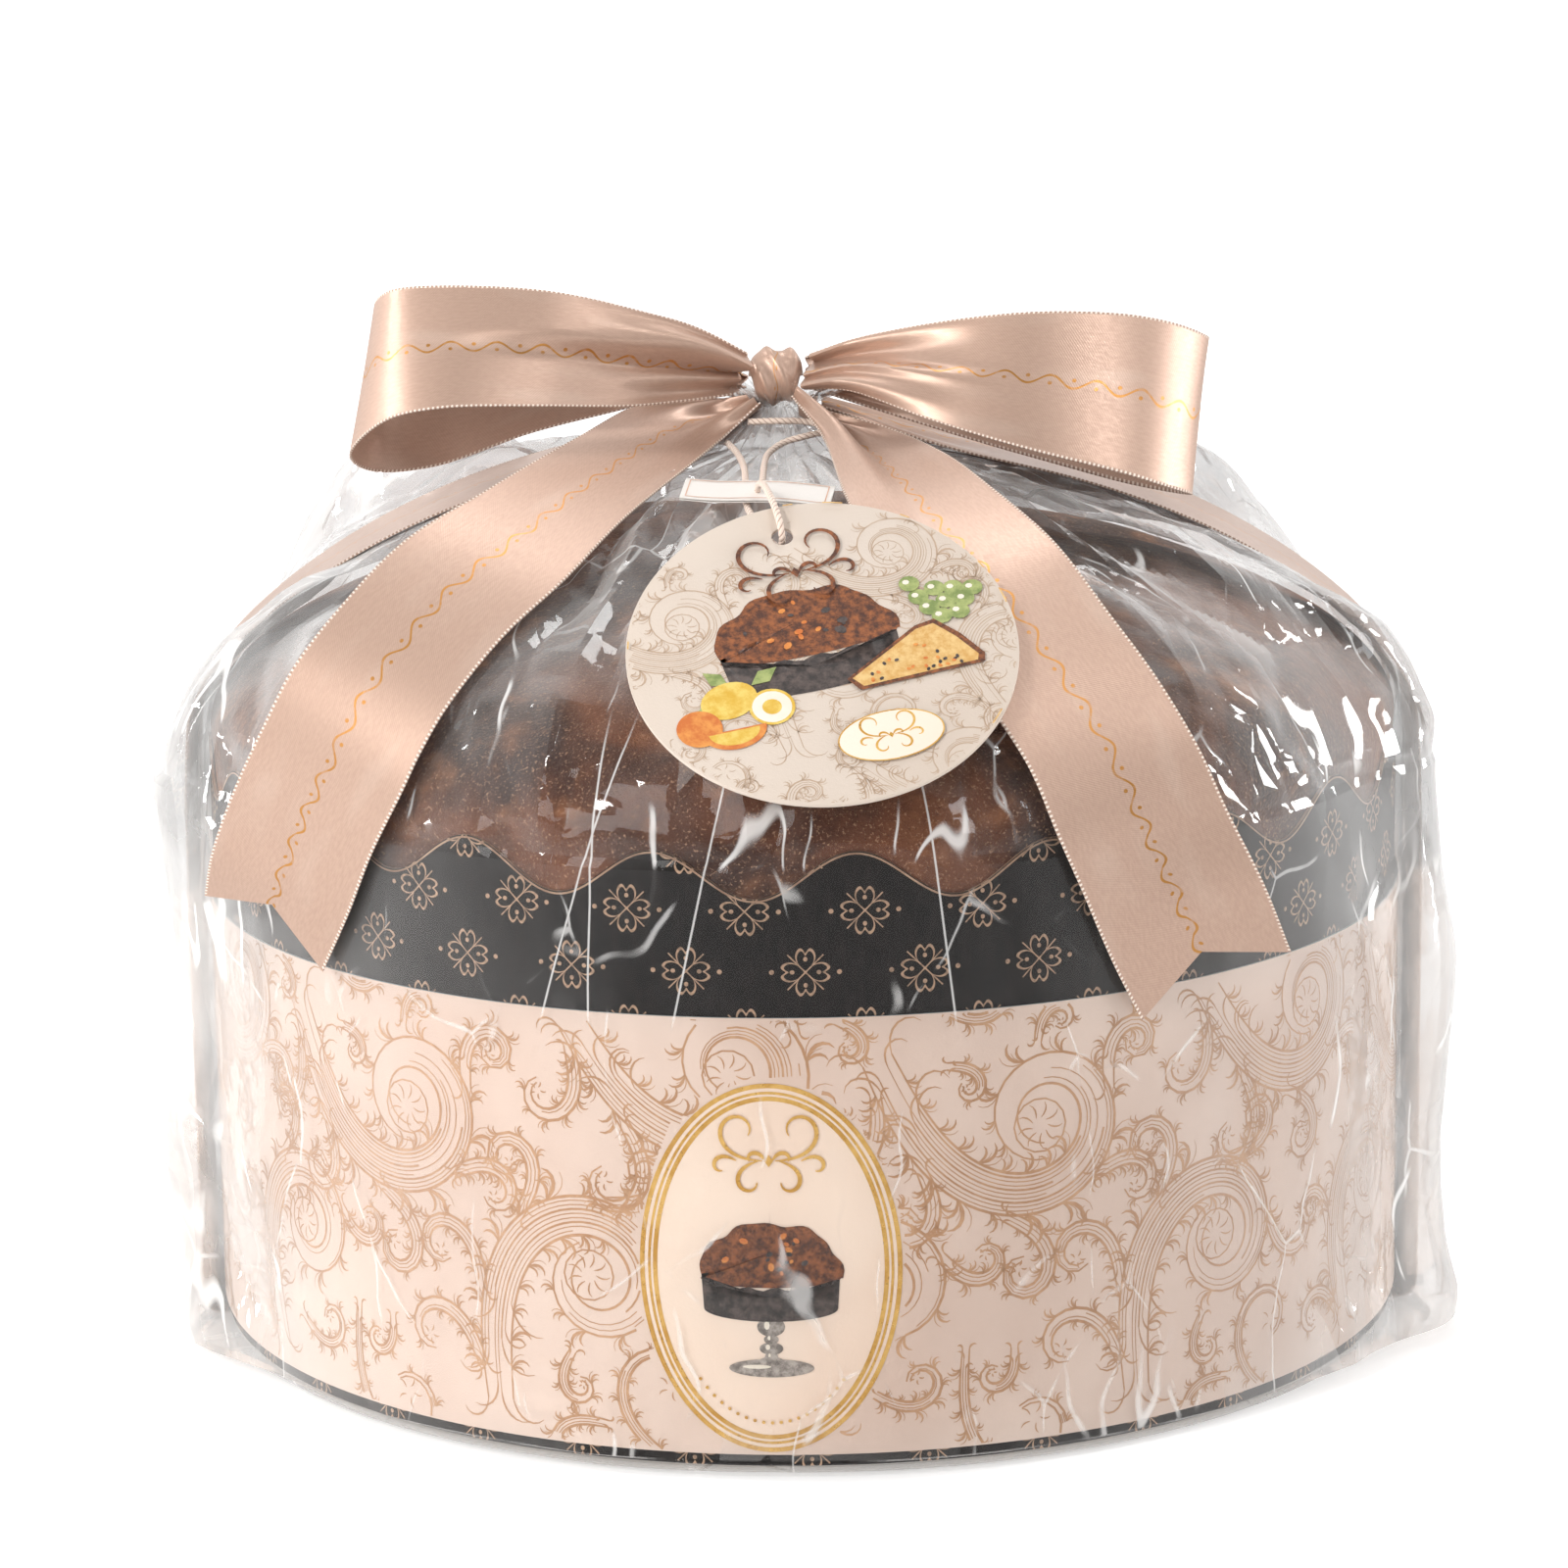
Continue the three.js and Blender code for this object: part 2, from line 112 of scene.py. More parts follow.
class Shader:
    """A material's node tree, written with short calls."""

    def __init__(self, name: str) -> None:
        """Starts an empty tree with its output."""
        self.material = bpy.data.materials.new(name)
        self.material.use_nodes = True
        self.tree = self.material.node_tree
        self.tree.nodes.clear()
        self.output = self.tree.nodes.new("ShaderNodeOutputMaterial")

    def set(self, socket: Socket, value: object) -> None:
        """Links a socket or sets its plain value.

        Args:
            socket: The input to fill.
            value: Another node's output, a number, or a tuple.
        """
        if isinstance(value, Socket):
            self.tree.links.new(value, socket)
        elif isinstance(value, tuple) and socket.type == "RGBA":
            socket.default_value = (*value, 1.0)
        else:
            socket.default_value = value

    def node(
        self, kind: str, inputs: dict[str | int, object] | None = None, **settings: object
    ) -> bpy.types.Node:
        """Adds a node.

        Args:
            kind: The node's type without its ShaderNode prefix.
            inputs: Values or links by socket name or number.
            **settings: The node's own properties.

        Returns:
            The new node.
        """
        made = self.tree.nodes.new("ShaderNode" + kind)
        for name, value in settings.items():
            setattr(made, name, value)
        for name, value in (inputs or {}).items():
            self.set(made.inputs[name], value)
        return made

    def place(self) -> Socket:
        """The piece's own coordinates in metres."""
        return self.node("TexCoord").outputs["Object"]

    def flat(self, name: str = "flat") -> Socket:
        """The piece's UV map, laid out in metres."""
        return self.node("UVMap", uv_map=name).outputs["UV"]

    def math(self, operation: str, a: object, b: object = 0.0, clamp: bool = False) -> Socket:
        """One Math node.

        Args:
            operation: The node's operation.
            a: First value.
            b: Second value.
            clamp: Whether the result is kept from 0 to 1.

        Returns:
            The result.
        """
        return self.node("Math", {0: a, 1: b, 2: 0.0}, operation=operation, use_clamp=clamp).outputs[0]

    def add(self, a: object, b: object, clamp: bool = False) -> Socket:
        """The sum of two values."""
        return self.math("ADD", a, b, clamp)

    def sub(self, a: object, b: object) -> Socket:
        """The first value less the second."""
        return self.math("SUBTRACT", a, b)

    def mul(self, a: object, b: object) -> Socket:
        """The product of two values."""
        return self.math("MULTIPLY", a, b)

    def div(self, a: object, b: object) -> Socket:
        """The first value over the second."""
        return self.math("DIVIDE", a, b)

    def abs(self, a: object) -> Socket:
        """A value without its sign."""
        return self.math("ABSOLUTE", a)

    def max(self, a: object, b: object) -> Socket:
        """The larger of two values."""
        return self.math("MAXIMUM", a, b)

    def length(self, vector: object) -> Socket:
        """The length of a vector."""
        return self.node("VectorMath", {0: vector}, operation="LENGTH").outputs["Value"]

    def split(self, vector: Socket) -> list[Socket]:
        """The three numbers of a vector."""
        return list(self.node("SeparateXYZ", {0: vector}).outputs)

    def join(self, x: object, y: object, z: object = 0.0) -> Socket:
        """A vector of three numbers."""
        return self.node("CombineXYZ", {0: x, 1: y, 2: z}).outputs[0]

    def stretch(self, vector: object, scale: Point, turn: float = 0.0) -> Socket:
        """A vector scaled along each axis and turned about Z."""
        made = self.node("Mapping", {"Vector": vector, "Scale": scale, "Rotation": (0.0, 0.0, turn)})
        return made.outputs[0]

    def noise(
        self, vector: object, scale: float, detail: float = 3.0, rough: float = 0.5, twist: float = 0.0
    ) -> Socket:
        """Cloudy noise from 0 to 1.

        Args:
            vector: Where it is read.
            scale: Waves in a metre.
            detail: Finer layers.
            rough: How strong the finer layers are.
            twist: How far it folds over itself.

        Returns:
            The noise.
        """
        made = self.node(
            "TexNoise",
            {"Vector": vector, "Scale": scale, "Detail": detail, "Roughness": rough, "Distortion": twist},
        )
        return made.outputs[0]

    def cells(self, vector: object, scale: float, feature: str = "F1") -> Socket:
        """Distances of a cell pattern."""
        made = self.node("TexVoronoi", {"Vector": vector, "Scale": scale}, feature=feature)
        return made.outputs["Distance"]

    def range(
        self, value: object, low: float, high: float, to_low: float = 0.0, to_high: float = 1.0
    ) -> Socket:
        """Maps low..high softly to to_low..to_high, and holds the ends."""
        inputs = {0: value, 1: low, 2: high, 3: to_low, 4: to_high}
        return self.node("MapRange", inputs, interpolation_type="SMOOTHSTEP").outputs[0]

    def mix(self, share: object, a: object, b: object) -> Socket:
        """A colour between two.

        Args:
            share: How much of b, from 0 to 1.
            a: First colour.
            b: Second colour.

        Returns:
            The colour.
        """
        made = self.node("Mix", data_type="RGBA")
        self.set(made.inputs[0], share)
        self.set(made.inputs[6], a)
        self.set(made.inputs[7], b)
        return made.outputs[2]

    def bump(
        self, height: object, distance: float, strength: float = 1.0, normal: object = None
    ) -> Socket:
        """A bumped normal.

        Args:
            height: The height, from 0 to 1.
            distance: What 1 stands for, in metres.
            strength: How much of it is used.
            normal: A normal to start from.

        Returns:
            The normal.
        """
        inputs: dict[str | int, object] = {"Height": height, "Distance": distance, "Strength": strength}
        if normal is not None:
            inputs["Normal"] = normal
        return self.node("Bump", inputs).outputs[0]

    def surface(self, **inputs: object) -> bpy.types.Node:
        """The main surface, joined to the output.

        Args:
            **inputs: Values by socket name, with _ for spaces.

        Returns:
            The Principled node.
        """
        named: dict[str | int, object] = {name.replace("_", " "): value for name, value in inputs.items()}
        made = self.node("BsdfPrincipled", named)
        self.tree.links.new(made.outputs[0], self.output.inputs[0])
        return made


# ---------------------------------------------------------------- finishes


@dataclass(frozen=True)
class CrustFinish:
    """Dark velvety crust with a fine light grain and paler worn rises."""

    deep: str = "30150b"
    brown: str = "74442a"
    cinnamon: str = "ab7550"
    grain: str = "c79b79"

    def make(self) -> Material:
        """Builds the material."""
        sh = Shader("crust")
        at = sh.place()
        cloud = sh.noise(at, 24.0, 4.0, 0.6, 0.6)
        patch = sh.noise(at, 70.0, 3.0, 0.6)
        fine = sh.noise(at, 1500.0, 2.0, 0.7)
        pore = sh.cells(at, 520.0)
        base = sh.mix(sh.range(cloud, 0.36, 0.66), hex_colour(self.deep), hex_colour(self.brown))
        base = sh.mix(sh.range(patch, 0.52, 0.78, 0.0, 0.75), base, hex_colour(self.cinnamon))
        base = sh.mix(sh.range(fine, 0.56, 0.72, 0.0, 0.6), base, hex_colour(self.grain))
        base = sh.mix(sh.range(pore, 0.0, 0.22, 0.55, 0.0), base, hex_colour(self.deep))
        normal = sh.bump(sh.noise(at, 240.0, 5.0, 0.65), 0.0016, 0.8)
        normal = sh.bump(fine, 0.0005, 0.7, normal)
        sh.surface(
            Base_Color=base,
            Roughness=sh.range(patch, 0.3, 0.8, 0.62, 0.88),
            Normal=normal,
            Sheen_Weight=0.25,
            Sheen_Roughness=0.45,
            Sheen_Tint=(0.8, 0.55, 0.4),
        )
        return sh.material


@dataclass(frozen=True)
class MouldFinish:
    """Near-black baking paper printed with rows of four-petalled flowers and dots."""

    paper: str = "100b0a"
    tan: str = "bb9a80"
    around: int = 34
    radius: float = 0.140
    row: float = 0.0134
    petal: float = 0.0054

    def make(self) -> Material:
        """Builds the material from polar sums in each cell of a staggered lattice."""
        sh = Shader("mould_paper")
        u, v, _ = sh.split(sh.flat())
        pitch = FULL_TURN * self.radius / self.around
        rows = sh.math("FLOOR", sh.div(v, self.row))
        odd = sh.math("MODULO", rows, 2.0)
        across = sh.add(sh.div(u, pitch), sh.mul(odd, 0.5))
        x = sh.mul(sh.sub(sh.math("FRACT", across), 0.5), pitch)
        y = sh.mul(sh.sub(sh.math("FRACT", sh.div(v, self.row)), 0.5), self.row)
        size = sh.length(sh.join(x, y))
        angle = sh.math("ARCTAN2", y, x)
        lobes = sh.abs(sh.math("COSINE", sh.mul(angle, 2.0)))
        notch = sh.math("SINE", sh.mul(angle, 2.0))
        notch = sh.math("EXPONENT", sh.mul(sh.mul(notch, notch), -16.0))
        reach = sh.mul(sh.math("POWER", lobes, 0.42), self.petal)
        reach = sh.mul(reach, sh.sub(1.0, sh.mul(notch, 0.26)))
        line = sh.range(sh.abs(sh.sub(size, reach)), 0.00024, 0.00042, 1.0, 0.0)
        spoke = sh.abs(sh.mul(lobes, size))
        spoke = sh.range(spoke, 0.00022, 0.0004, 1.0, 0.0)
        spoke = sh.mul(spoke, sh.math("LESS_THAN", size, self.petal * 1.02))
        heart = sh.abs(sh.math("SINE", sh.mul(angle, 2.0)))
        heart = sh.mul(heart, size)
        seed = sh.add(sh.math("POWER", sh.div(heart, 0.0009), 2.0),
                       sh.math("POWER", sh.div(sh.sub(size, 0.0029), 0.0005), 2.0))
        seed = sh.range(seed, 0.8, 1.3, 1.0, 0.0)
        side = sh.sub(sh.abs(x), 0.0073)
        dot = sh.length(sh.join(side, y))
        dot = sh.range(dot, 0.00045, 0.00062, 1.0, 0.0)
        ink = sh.max(sh.max(line, spoke), sh.max(seed, dot))
        worn = sh.range(sh.noise(sh.place(), 900.0, 2.0), 0.3, 0.6, 0.55, 1.0)
        ink = sh.mul(ink, worn)
        fibre = sh.noise(sh.stretch(sh.place(), (1.0, 1.0, 0.35)), 420.0, 4.0, 0.6)
        paper = sh.mix(sh.range(fibre, 0.3, 0.75), hex_colour(self.paper), hex_colour("1e1715"))
        paper = sh.mix(sh.mul(ink, 0.95), paper, hex_colour(self.tan))
        normal = sh.bump(fibre, 0.0001, 0.22)
        sh.surface(Base_Color=paper, Roughness=0.8, Specular_IOR_Level=0.25, Normal=normal)
        return sh.material


@dataclass(frozen=True)
class CardFinish:
    """Smooth printed card with a faint mottle and a soft satin coat."""

    name: str
    colour: str
    shade: str
    roughness: float = 0.5
    coat: float = 0.15

    def make(self) -> Material:
        """Builds the material."""
        sh = Shader(self.name)
        at = sh.place()
        cloud = sh.noise(at, 14.0, 3.0, 0.6)
        fibre = sh.noise(at, 1300.0, 3.0, 0.7)
        base = sh.mix(sh.range(cloud, 0.35, 0.7), hex_colour(self.colour), hex_colour(self.shade))
        base = sh.mix(sh.range(fibre, 0.45, 0.8, 0.0, 0.12), base, hex_colour(self.shade))
        sh.surface(
            Base_Color=base,
            Roughness=self.roughness,
            Normal=sh.bump(fibre, 0.00008, 0.6),
            Coat_Weight=self.coat,
            Coat_Roughness=0.3,
        )
        return sh.material


@dataclass(frozen=True)
class InkFinish:
    """A printed ink that wears lighter in places, or a foil where it is metallic."""

    name: str
    colour: str
    light: str
    metallic: float = 0.0
    roughness: float = 0.5
    grain: float = 130.0

    def make(self) -> Material:
        """Builds the material."""
        sh = Shader(self.name)
        at = sh.place()
        share = sh.range(sh.noise(at, self.grain, 4.0, 0.7), 0.35, 0.68)
        base = sh.mix(share, hex_colour(self.colour), hex_colour(self.light))
        rough = sh.range(sh.noise(at, 600.0, 2.0), 0.3, 0.7, self.roughness - 0.08, self.roughness + 0.08)
        sh.surface(Base_Color=base, Roughness=rough, Metallic=self.metallic)
        return sh.material


@dataclass(frozen=True)
class SatinFinish:
    """Rose-beige satin: long floats, a fine slant grain, picot loops on both edges and long pale streaks, partly
    painted sheen.
    """

    colour: str = "c7a896"
    # The pale colour of the long streaks, partly a painted sheen.
    light: str = "ead9cc"
    deep: str = "a98a79"
    foil: str = "c98f4c"
    width: float = 0.038
    pitch: float = 0.00105
    wave_length: float = 0.0105

    def foil_line(self, sh: Shader, u: Socket, v: Socket) -> Socket:
        """A running wave with a dot in each of its hollows, stamped along the ribbon's middle.

        Args:
            sh: The material's node builder.
            u: Distance along the ribbon.
            v: Distance across it.

        Returns:
            Where the foil lies, from 0 to 1.
        """
        phase = sh.mul(u, FULL_TURN / self.wave_length)
        swing = sh.mul(sh.math("SINE", phase), 0.0014)
        across = sh.sub(v, self.width / 2)
        wave = sh.range(sh.abs(sh.sub(across, swing)), 0.00024, 0.00040, 1.0, 0.0)
        along = sh.sub(sh.math("FRACT", sh.mul(u, 2 / self.wave_length)), 0.5)
        along = sh.mul(along, self.wave_length / 2)
        beside = sh.add(across, sh.mul(sh.math("SIGN", sh.math("SINE", phase)), 0.0007))
        dot = sh.length(sh.join(along, beside))
        dot = sh.range(dot, 0.00042, 0.00058, 1.0, 0.0)
        worn = sh.range(sh.noise(sh.flat(), 420.0, 2.0), 0.25, 0.5, 0.35, 0.95)
        return sh.mul(sh.max(wave, dot), worn)

    def make(self) -> Material:
        """Builds the material on the ribbon's flat map, u along and v across."""
        sh = Shader("satin_ribbon")
        flat = sh.flat()
        u, v, _ = sh.split(flat)
        edge = sh.math("MINIMUM", v, sh.sub(self.width, v))
        selvedge = sh.range(edge, 0.0004, 0.0007, 1.0, 0.0)
        loops = sh.math("SINE", sh.mul(u, FULL_TURN / self.pitch))
        turned = sh.stretch(flat, (1.0, 1.0, 1.0), math.radians(38))
        slant = sh.node(
            "TexWave",
            {"Vector": turned, "Scale": 640.0, "Distortion": 0.6, "Detail": 1.0, "Detail Scale": 2.0},
        ).outputs["Fac"]
        thread = sh.noise(sh.stretch(flat, (500.0, 1500.0, 1.0)), 1.0, 3.0, 0.6)
        # Long soft streaks towards the pale colour: partly yarn slubs, partly painted sheen bands.
        slub_and_sheen = sh.noise(sh.stretch(flat, (30.0, 90.0, 1.0)), 1.0, 2.0, 0.5)
        base = sh.mix(sh.range(thread, 0.3, 0.7, 0.0, 0.35), hex_colour(self.colour), hex_colour(self.deep))
        base = sh.mix(sh.range(slub_and_sheen, 0.5, 0.8, 0.0, 0.2), base, hex_colour(self.light))
        base = sh.mix(sh.mul(slant, 0.26), base, hex_colour(self.deep))
        foil = self.foil_line(sh, u, v)
        base = sh.mix(foil, base, hex_colour(self.foil))
        knots = sh.range(loops, -0.2, 0.5)
        woven = sh.mix(knots, hex_colour("a98b7b"), hex_colour("eadccf"))
        base = sh.mix(selvedge, base, woven)
        height = sh.add(sh.mul(slant, 0.35), sh.mul(thread, 0.65))
        height = sh.add(height, sh.mul(selvedge, sh.mul(knots, 2.5)))
        normal = sh.bump(height, 0.00008, 0.35)
        tangent = sh.node("Tangent", direction_type="UV_MAP", uv_map="flat").outputs[0]
        rough = sh.add(sh.range(thread, 0.3, 0.7, 0.31, 0.38), sh.mul(selvedge, 0.3))
        shine = sh.add(sh.sub(0.42, sh.mul(selvedge, 0.42)), sh.mul(foil, 0.45), clamp=True)
        sh.surface(
            Base_Color=base,
            Roughness=rough,
            Metallic=shine,
            Normal=normal,
            Tangent=tangent,
            Anisotropic=0.55,
            Sheen_Weight=0.12,
            Sheen_Roughness=0.3,
            Sheen_Tint=(1.0, 0.88, 0.8),
        )
        return sh.material


@dataclass(frozen=True)
class FilmFinish:
    """Clear film: see-through, with glossy facets and a milky look at its edges, and painted light: white lines on
    creases and glint streaks as painted highlights, pale facet veils as painted reflections, and sides whitened
    partly by stacked folds, partly by painted sheen.
    """

    tint: Colour = (0.985, 0.985, 0.985)
    radius: float = 0.1422
    # Turn in degrees and slant of each straight upright line painted white as a highlight.
    pressed: tuple[Plan, ...] = ((246.5, 0.30), (250.8, 0.03), (258.5, 0.22), (283.0, -0.12))

    def make(self) -> Material:
        """Builds the material on the sheet's flat map, u round and v up."""
        sh = Shader("clear_film")
        flat = sh.flat()
        loose = sh.node("Attribute", attribute_name="loose", attribute_type="GEOMETRY").outputs["Fac"]
        drift = sh.node("TexNoise", {"Vector": flat, "Scale": 28.0, "Detail": 2.0}).outputs["Color"]
        drift = sh.node("VectorMath", {0: drift, 1: (0.5, 0.5, 0.5)}, operation="SUBTRACT").outputs[0]
        drift = sh.node("VectorMath", {0: drift, "Scale": 0.014}, operation="SCALE").outputs[0]
        warped = sh.node("VectorMath", {0: flat, 1: drift}, operation="ADD").outputs[0]
        wide = sh.cells(sh.stretch(warped, (1.0, 0.5, 1.0)), 30.0, "DISTANCE_TO_EDGE")
        small = sh.cells(warped, 95.0, "DISTANCE_TO_EDGE")
        patch = sh.range(sh.noise(flat, 20.0, 2.0), 0.48, 0.62)
        wave = sh.noise(sh.stretch(flat, (1.0, 0.35, 1.0)), 20.0, 1.0, 0.5, 0.5)
        normal = sh.bump(sh.mul(wide, loose), 0.016, 0.30)
        normal = sh.bump(sh.mul(sh.mul(small, loose), patch), 0.005, 0.35, normal)
        normal = sh.bump(wave, 0.008, 0.07, normal)
        # Painted highlight: white lines along the edges of the large facets, where folds would catch the light.
        crease_highlight = sh.range(wide, 0.002, 0.011, 1.0, 0.0)
        crease_highlight = sh.mul(crease_highlight, sh.range(sh.noise(flat, 45.0, 2.0), 0.48, 0.60))
        # Painted highlight: long thin white streaks, standing in for light caught on folds.
        glint_lines = sh.noise(sh.stretch(warped, (1.0, 0.22, 1.0)), 52.0, 1.0, 0.5, 0.2)
        glint_lines = sh.abs(sh.sub(glint_lines, 0.5))
        painted_glint = sh.range(glint_lines, 0.003, 0.016, 1.0, 0.0)
        painted_glint = sh.mul(painted_glint, sh.range(sh.noise(flat, 33.0, 2.0), 0.52, 0.60))
        painted_glint = sh.mul(painted_glint, sh.range(loose, 0.25, 0.7))
        crease_highlight = sh.max(crease_highlight, sh.mul(painted_glint, 1.6))
        u, _, _ = sh.split(flat)
        height = sh.split(sh.place())[2]
        # Painted highlight: thin straight upright white lines on the front, standing in for light caught by long
        # folds.
        tall = sh.mul(sh.range(height, 0.100, 0.106), sh.range(height, 0.158, 0.170, 1.0, 0.0))
        for turn, slant in self.pressed:
            middle = FULL_TURN * self.radius * (turn / 360)
            lean = sh.mul(sh.sub(height, 0.104), slant)
            away = sh.abs(sh.sub(sh.sub(u, middle), lean))
            line = sh.mul(sh.range(away, 0.00012, 0.00036, 1.0, 0.0), tall)
            crease_highlight = sh.max(crease_highlight, sh.mul(line, 1.35))
        mirror = sh.node("Fresnel", {"IOR": 1.48, "Normal": normal}).outputs[0]
        mirror = sh.mul(sh.sub(mirror, 0.022), 1.3)
        mirror = sh.math("MINIMUM", sh.max(mirror, 0.014), 0.38)
        edge = sh.node("LayerWeight", {"Blend": 0.30}).outputs["Facing"]
        haze_and_painted_light = sh.mul(sh.math("POWER", edge, 1.4), 0.95)
        cloudy = sh.range(sh.noise(sh.stretch(flat, (1.0, 0.4, 1.0)), 40.0, 4.0, 0.65), 0.45, 0.75, 0.0, 0.09)
        haze_and_painted_light = sh.add(haze_and_painted_light, sh.mul(cloudy, sh.math("POWER", loose, 3.0)))
        # Painted reflection: pale flat patches on the loose film, standing in for facets that mirror brighter parts
        # of the room.
        painted_veil = sh.stretch(warped, (1.0, 0.4, 1.0))
        painted_veil = sh.node("TexVoronoi", {"Vector": painted_veil, "Scale": 26.0}).outputs["Color"]
        painted_veil = sh.range(sh.split(painted_veil)[0], 0.66, 0.70, 0.0, 0.13)
        haze_and_painted_light = sh.add(haze_and_painted_light, sh.mul(painted_veil, sh.range(loose, 0.35, 0.8)))
        # Whiter film at the left and right sides as seen from the front: partly stacked folds, partly painted sheen
        # where the view grazes.
        side_folds_and_sheen = sh.range(sh.abs(sh.split(sh.place())[0]), 0.108, 0.138, 0.0, 0.22)
        side_folds_and_sheen = sh.mul(side_folds_and_sheen, sh.range(height, 0.100, 0.170, 1.0, 0.35))
        folded = sh.noise(sh.stretch(flat, (1.0, 0.25, 1.0)), 48.0, 3.0, 0.6)
        side_folds_and_sheen = sh.mul(side_folds_and_sheen, sh.range(folded, 0.38, 0.62, 0.45, 1.1))
        haze_and_painted_light = sh.add(haze_and_painted_light, side_folds_and_sheen)
        # The white share holds the film's real milkiness and the painted highlights, reflections and sheen above.
        haze_and_painted_light = sh.add(haze_and_painted_light, sh.mul(crease_highlight, 0.38), clamp=True)
        clear = sh.node("BsdfTransparent", {"Color": self.tint})
        white = sh.node("BsdfDiffuse", {"Color": (0.80, 0.785, 0.77), "Normal": normal})
        gloss = sh.node("BsdfGlossy", {"Color": (1.0, 1.0, 1.0), "Roughness": 0.05, "Normal": normal})
        body = sh.node("MixShader", {0: haze_and_painted_light, 1: clear.outputs[0], 2: white.outputs[0]})
        skin = sh.node("MixShader", {0: mirror, 1: body.outputs[0], 2: gloss.outputs[0]})
        sh.set(sh.output.inputs[0], skin.outputs[0])
        return sh.material


@dataclass(frozen=True)
class CottonFinish:
    """Twisted cotton: pale strands with a darker groove between them."""

    colour: str = "f1dccd"
    groove: str = "b08e7b"

    def make(self) -> Material:
        """Builds the material on the string's flat map, whose v goes once round the section."""
        sh = Shader("cotton_string")
        u, v, _ = sh.split(sh.flat())
        fibre = sh.noise(sh.place(), 3800.0, 3.0, 0.7)
        turn = sh.sub(sh.mul(v, 3.0), sh.mul(u, 3.0 / 0.0042))
        strand = sh.abs(sh.math("COSINE", sh.mul(turn, math.pi)))
        base = sh.mix(sh.range(strand, 0.1, 0.55), hex_colour(self.groove), hex_colour(self.colour))
        base = sh.mix(sh.range(fibre, 0.5, 0.8, 0.0, 0.3), base, hex_colour("fff6ee"))
        normal = sh.bump(sh.add(strand, fibre), 0.0003, 0.6)
        sh.surface(Base_Color=base, Roughness=0.85, Normal=normal, Sheen_Weight=0.3, Sheen_Roughness=0.5)
        return sh.material


def made(finish: object) -> Material:
    """A field that holds a finish's material, built when the set is."""
    return field(default_factory=finish.make)


@dataclass(frozen=True)
class Finishes:
    """Every material, made once."""

    crust: Material = made(CrustFinish())
    mould: Material = made(MouldFinish())
    mould_edge: Material = made(InkFinish("mould_edge", "8d6b53", "b8977c"))
    board: Material = made(CardFinish("base_board", "8c7458", "77624a", 0.85, 0.0))
    card: Material = made(CardFinish("printed_card", "e2cdbf", "d6beaf", 0.48, 0.15))
    card_edge: Material = made(CardFinish("cut_edge", "d7e2e4", "b9c9cd", 0.6, 0.0))
    bronze: Material = made(InkFinish("bronze_print", "b48760", "cba17c", 0.0, 0.45))
    gold: Material = made(InkFinish("gold_foil", "c8963f", "e6bb69", 0.55, 0.34))
    oval: Material = made(CardFinish("oval_card", "f0ddcc", "e9d1be", 0.5, 0.15))
    film: Material = made(FilmFinish())
    satin: Material = made(SatinFinish())
    tag: Material = made(CardFinish("tag_card", "cfc1b4", "c7b7a8", 0.55, 0.1))
    tag_ink: Material = made(InkFinish("tag_print", "b79d86", "c3ad98"))
    white_paper: Material = made(CardFinish("label_paper", "e9e4df", "dcd5ce", 0.7, 0.0))
    rose_gold: Material = made(InkFinish("rose_gold_line", "c09076", "dcb49c", 0.4, 0.4))
    cotton: Material = made(CottonFinish())
    print_crust: Material = made(InkFinish("print_crust", "43200f", "94552b", 0.0, 0.5, 520.0))
    print_mould: Material = made(InkFinish("print_mould", "2b2422", "5a4d48", 0.0, 0.5, 420.0))
    print_glass: Material = made(InkFinish("print_glass", "6a625c", "b3aaa2", 0.0, 0.4, 420.0))
    print_orange: Material = made(InkFinish("print_orange", "c4692b", "dc9447", 0.0, 0.5, 260.0))
    print_lemon: Material = made(InkFinish("print_lemon", "d0a535", "e0c568", 0.0, 0.5, 260.0))
    print_leaf: Material = made(InkFinish("print_leaf", "748549", "a5ae6d", 0.0, 0.5, 260.0))
    print_crumb: Material = made(InkFinish("print_crumb", "c99a54", "dcba7d", 0.0, 0.5, 500.0))
    print_pale: Material = made(InkFinish("print_pale", "e2d9c8", "ece4d6"))

    def picture_inks(self) -> list[Material]:
        """The inks of a printed picture, in the order of its colours."""
        return [
            self.oval, self.gold, self.print_crust, self.print_mould, self.print_glass, self.print_orange,
            self.print_lemon, self.print_leaf, self.print_crumb, self.print_pale,
        ]


# ---------------------------------------------------------------- shaping helpers


def deselect() -> None:
    """Leaves object mode with nothing selected."""
    if bpy.context.object is not None and bpy.context.object.mode != "OBJECT":
        bpy.ops.object.mode_set(mode="OBJECT")
    bpy.ops.object.select_all(action="DESELECT")


def make_active(piece: Piece) -> None:
    """Selects one piece only and makes it active."""
    deselect()
    piece.select_set(True)
    bpy.context.view_layer.objects.active = piece


def settle(piece: Piece, name: str) -> Piece:
    """Names a piece and puts its place into its mesh."""
    make_active(piece)
    piece.name = name
    piece.data.name = name
    bpy.ops.object.transform_apply(location=True, rotation=True, scale=True)
    return piece


def apply_all(piece: Piece) -> None:
    """Applies every modifier of a piece in order."""
    make_active(piece)
    for modifier in list(piece.modifiers):
        bpy.ops.object.modifier_apply(modifier=modifier.name)


def smooth(piece: Piece, degrees: float = 180.0) -> None:
    """Shades a piece smooth up to an angle."""
    make_active(piece)
    if degrees >= 180:
        bpy.ops.object.shade_smooth()
    else:
        bpy.ops.object.shade_smooth_by_angle(angle=math.radians(degrees))


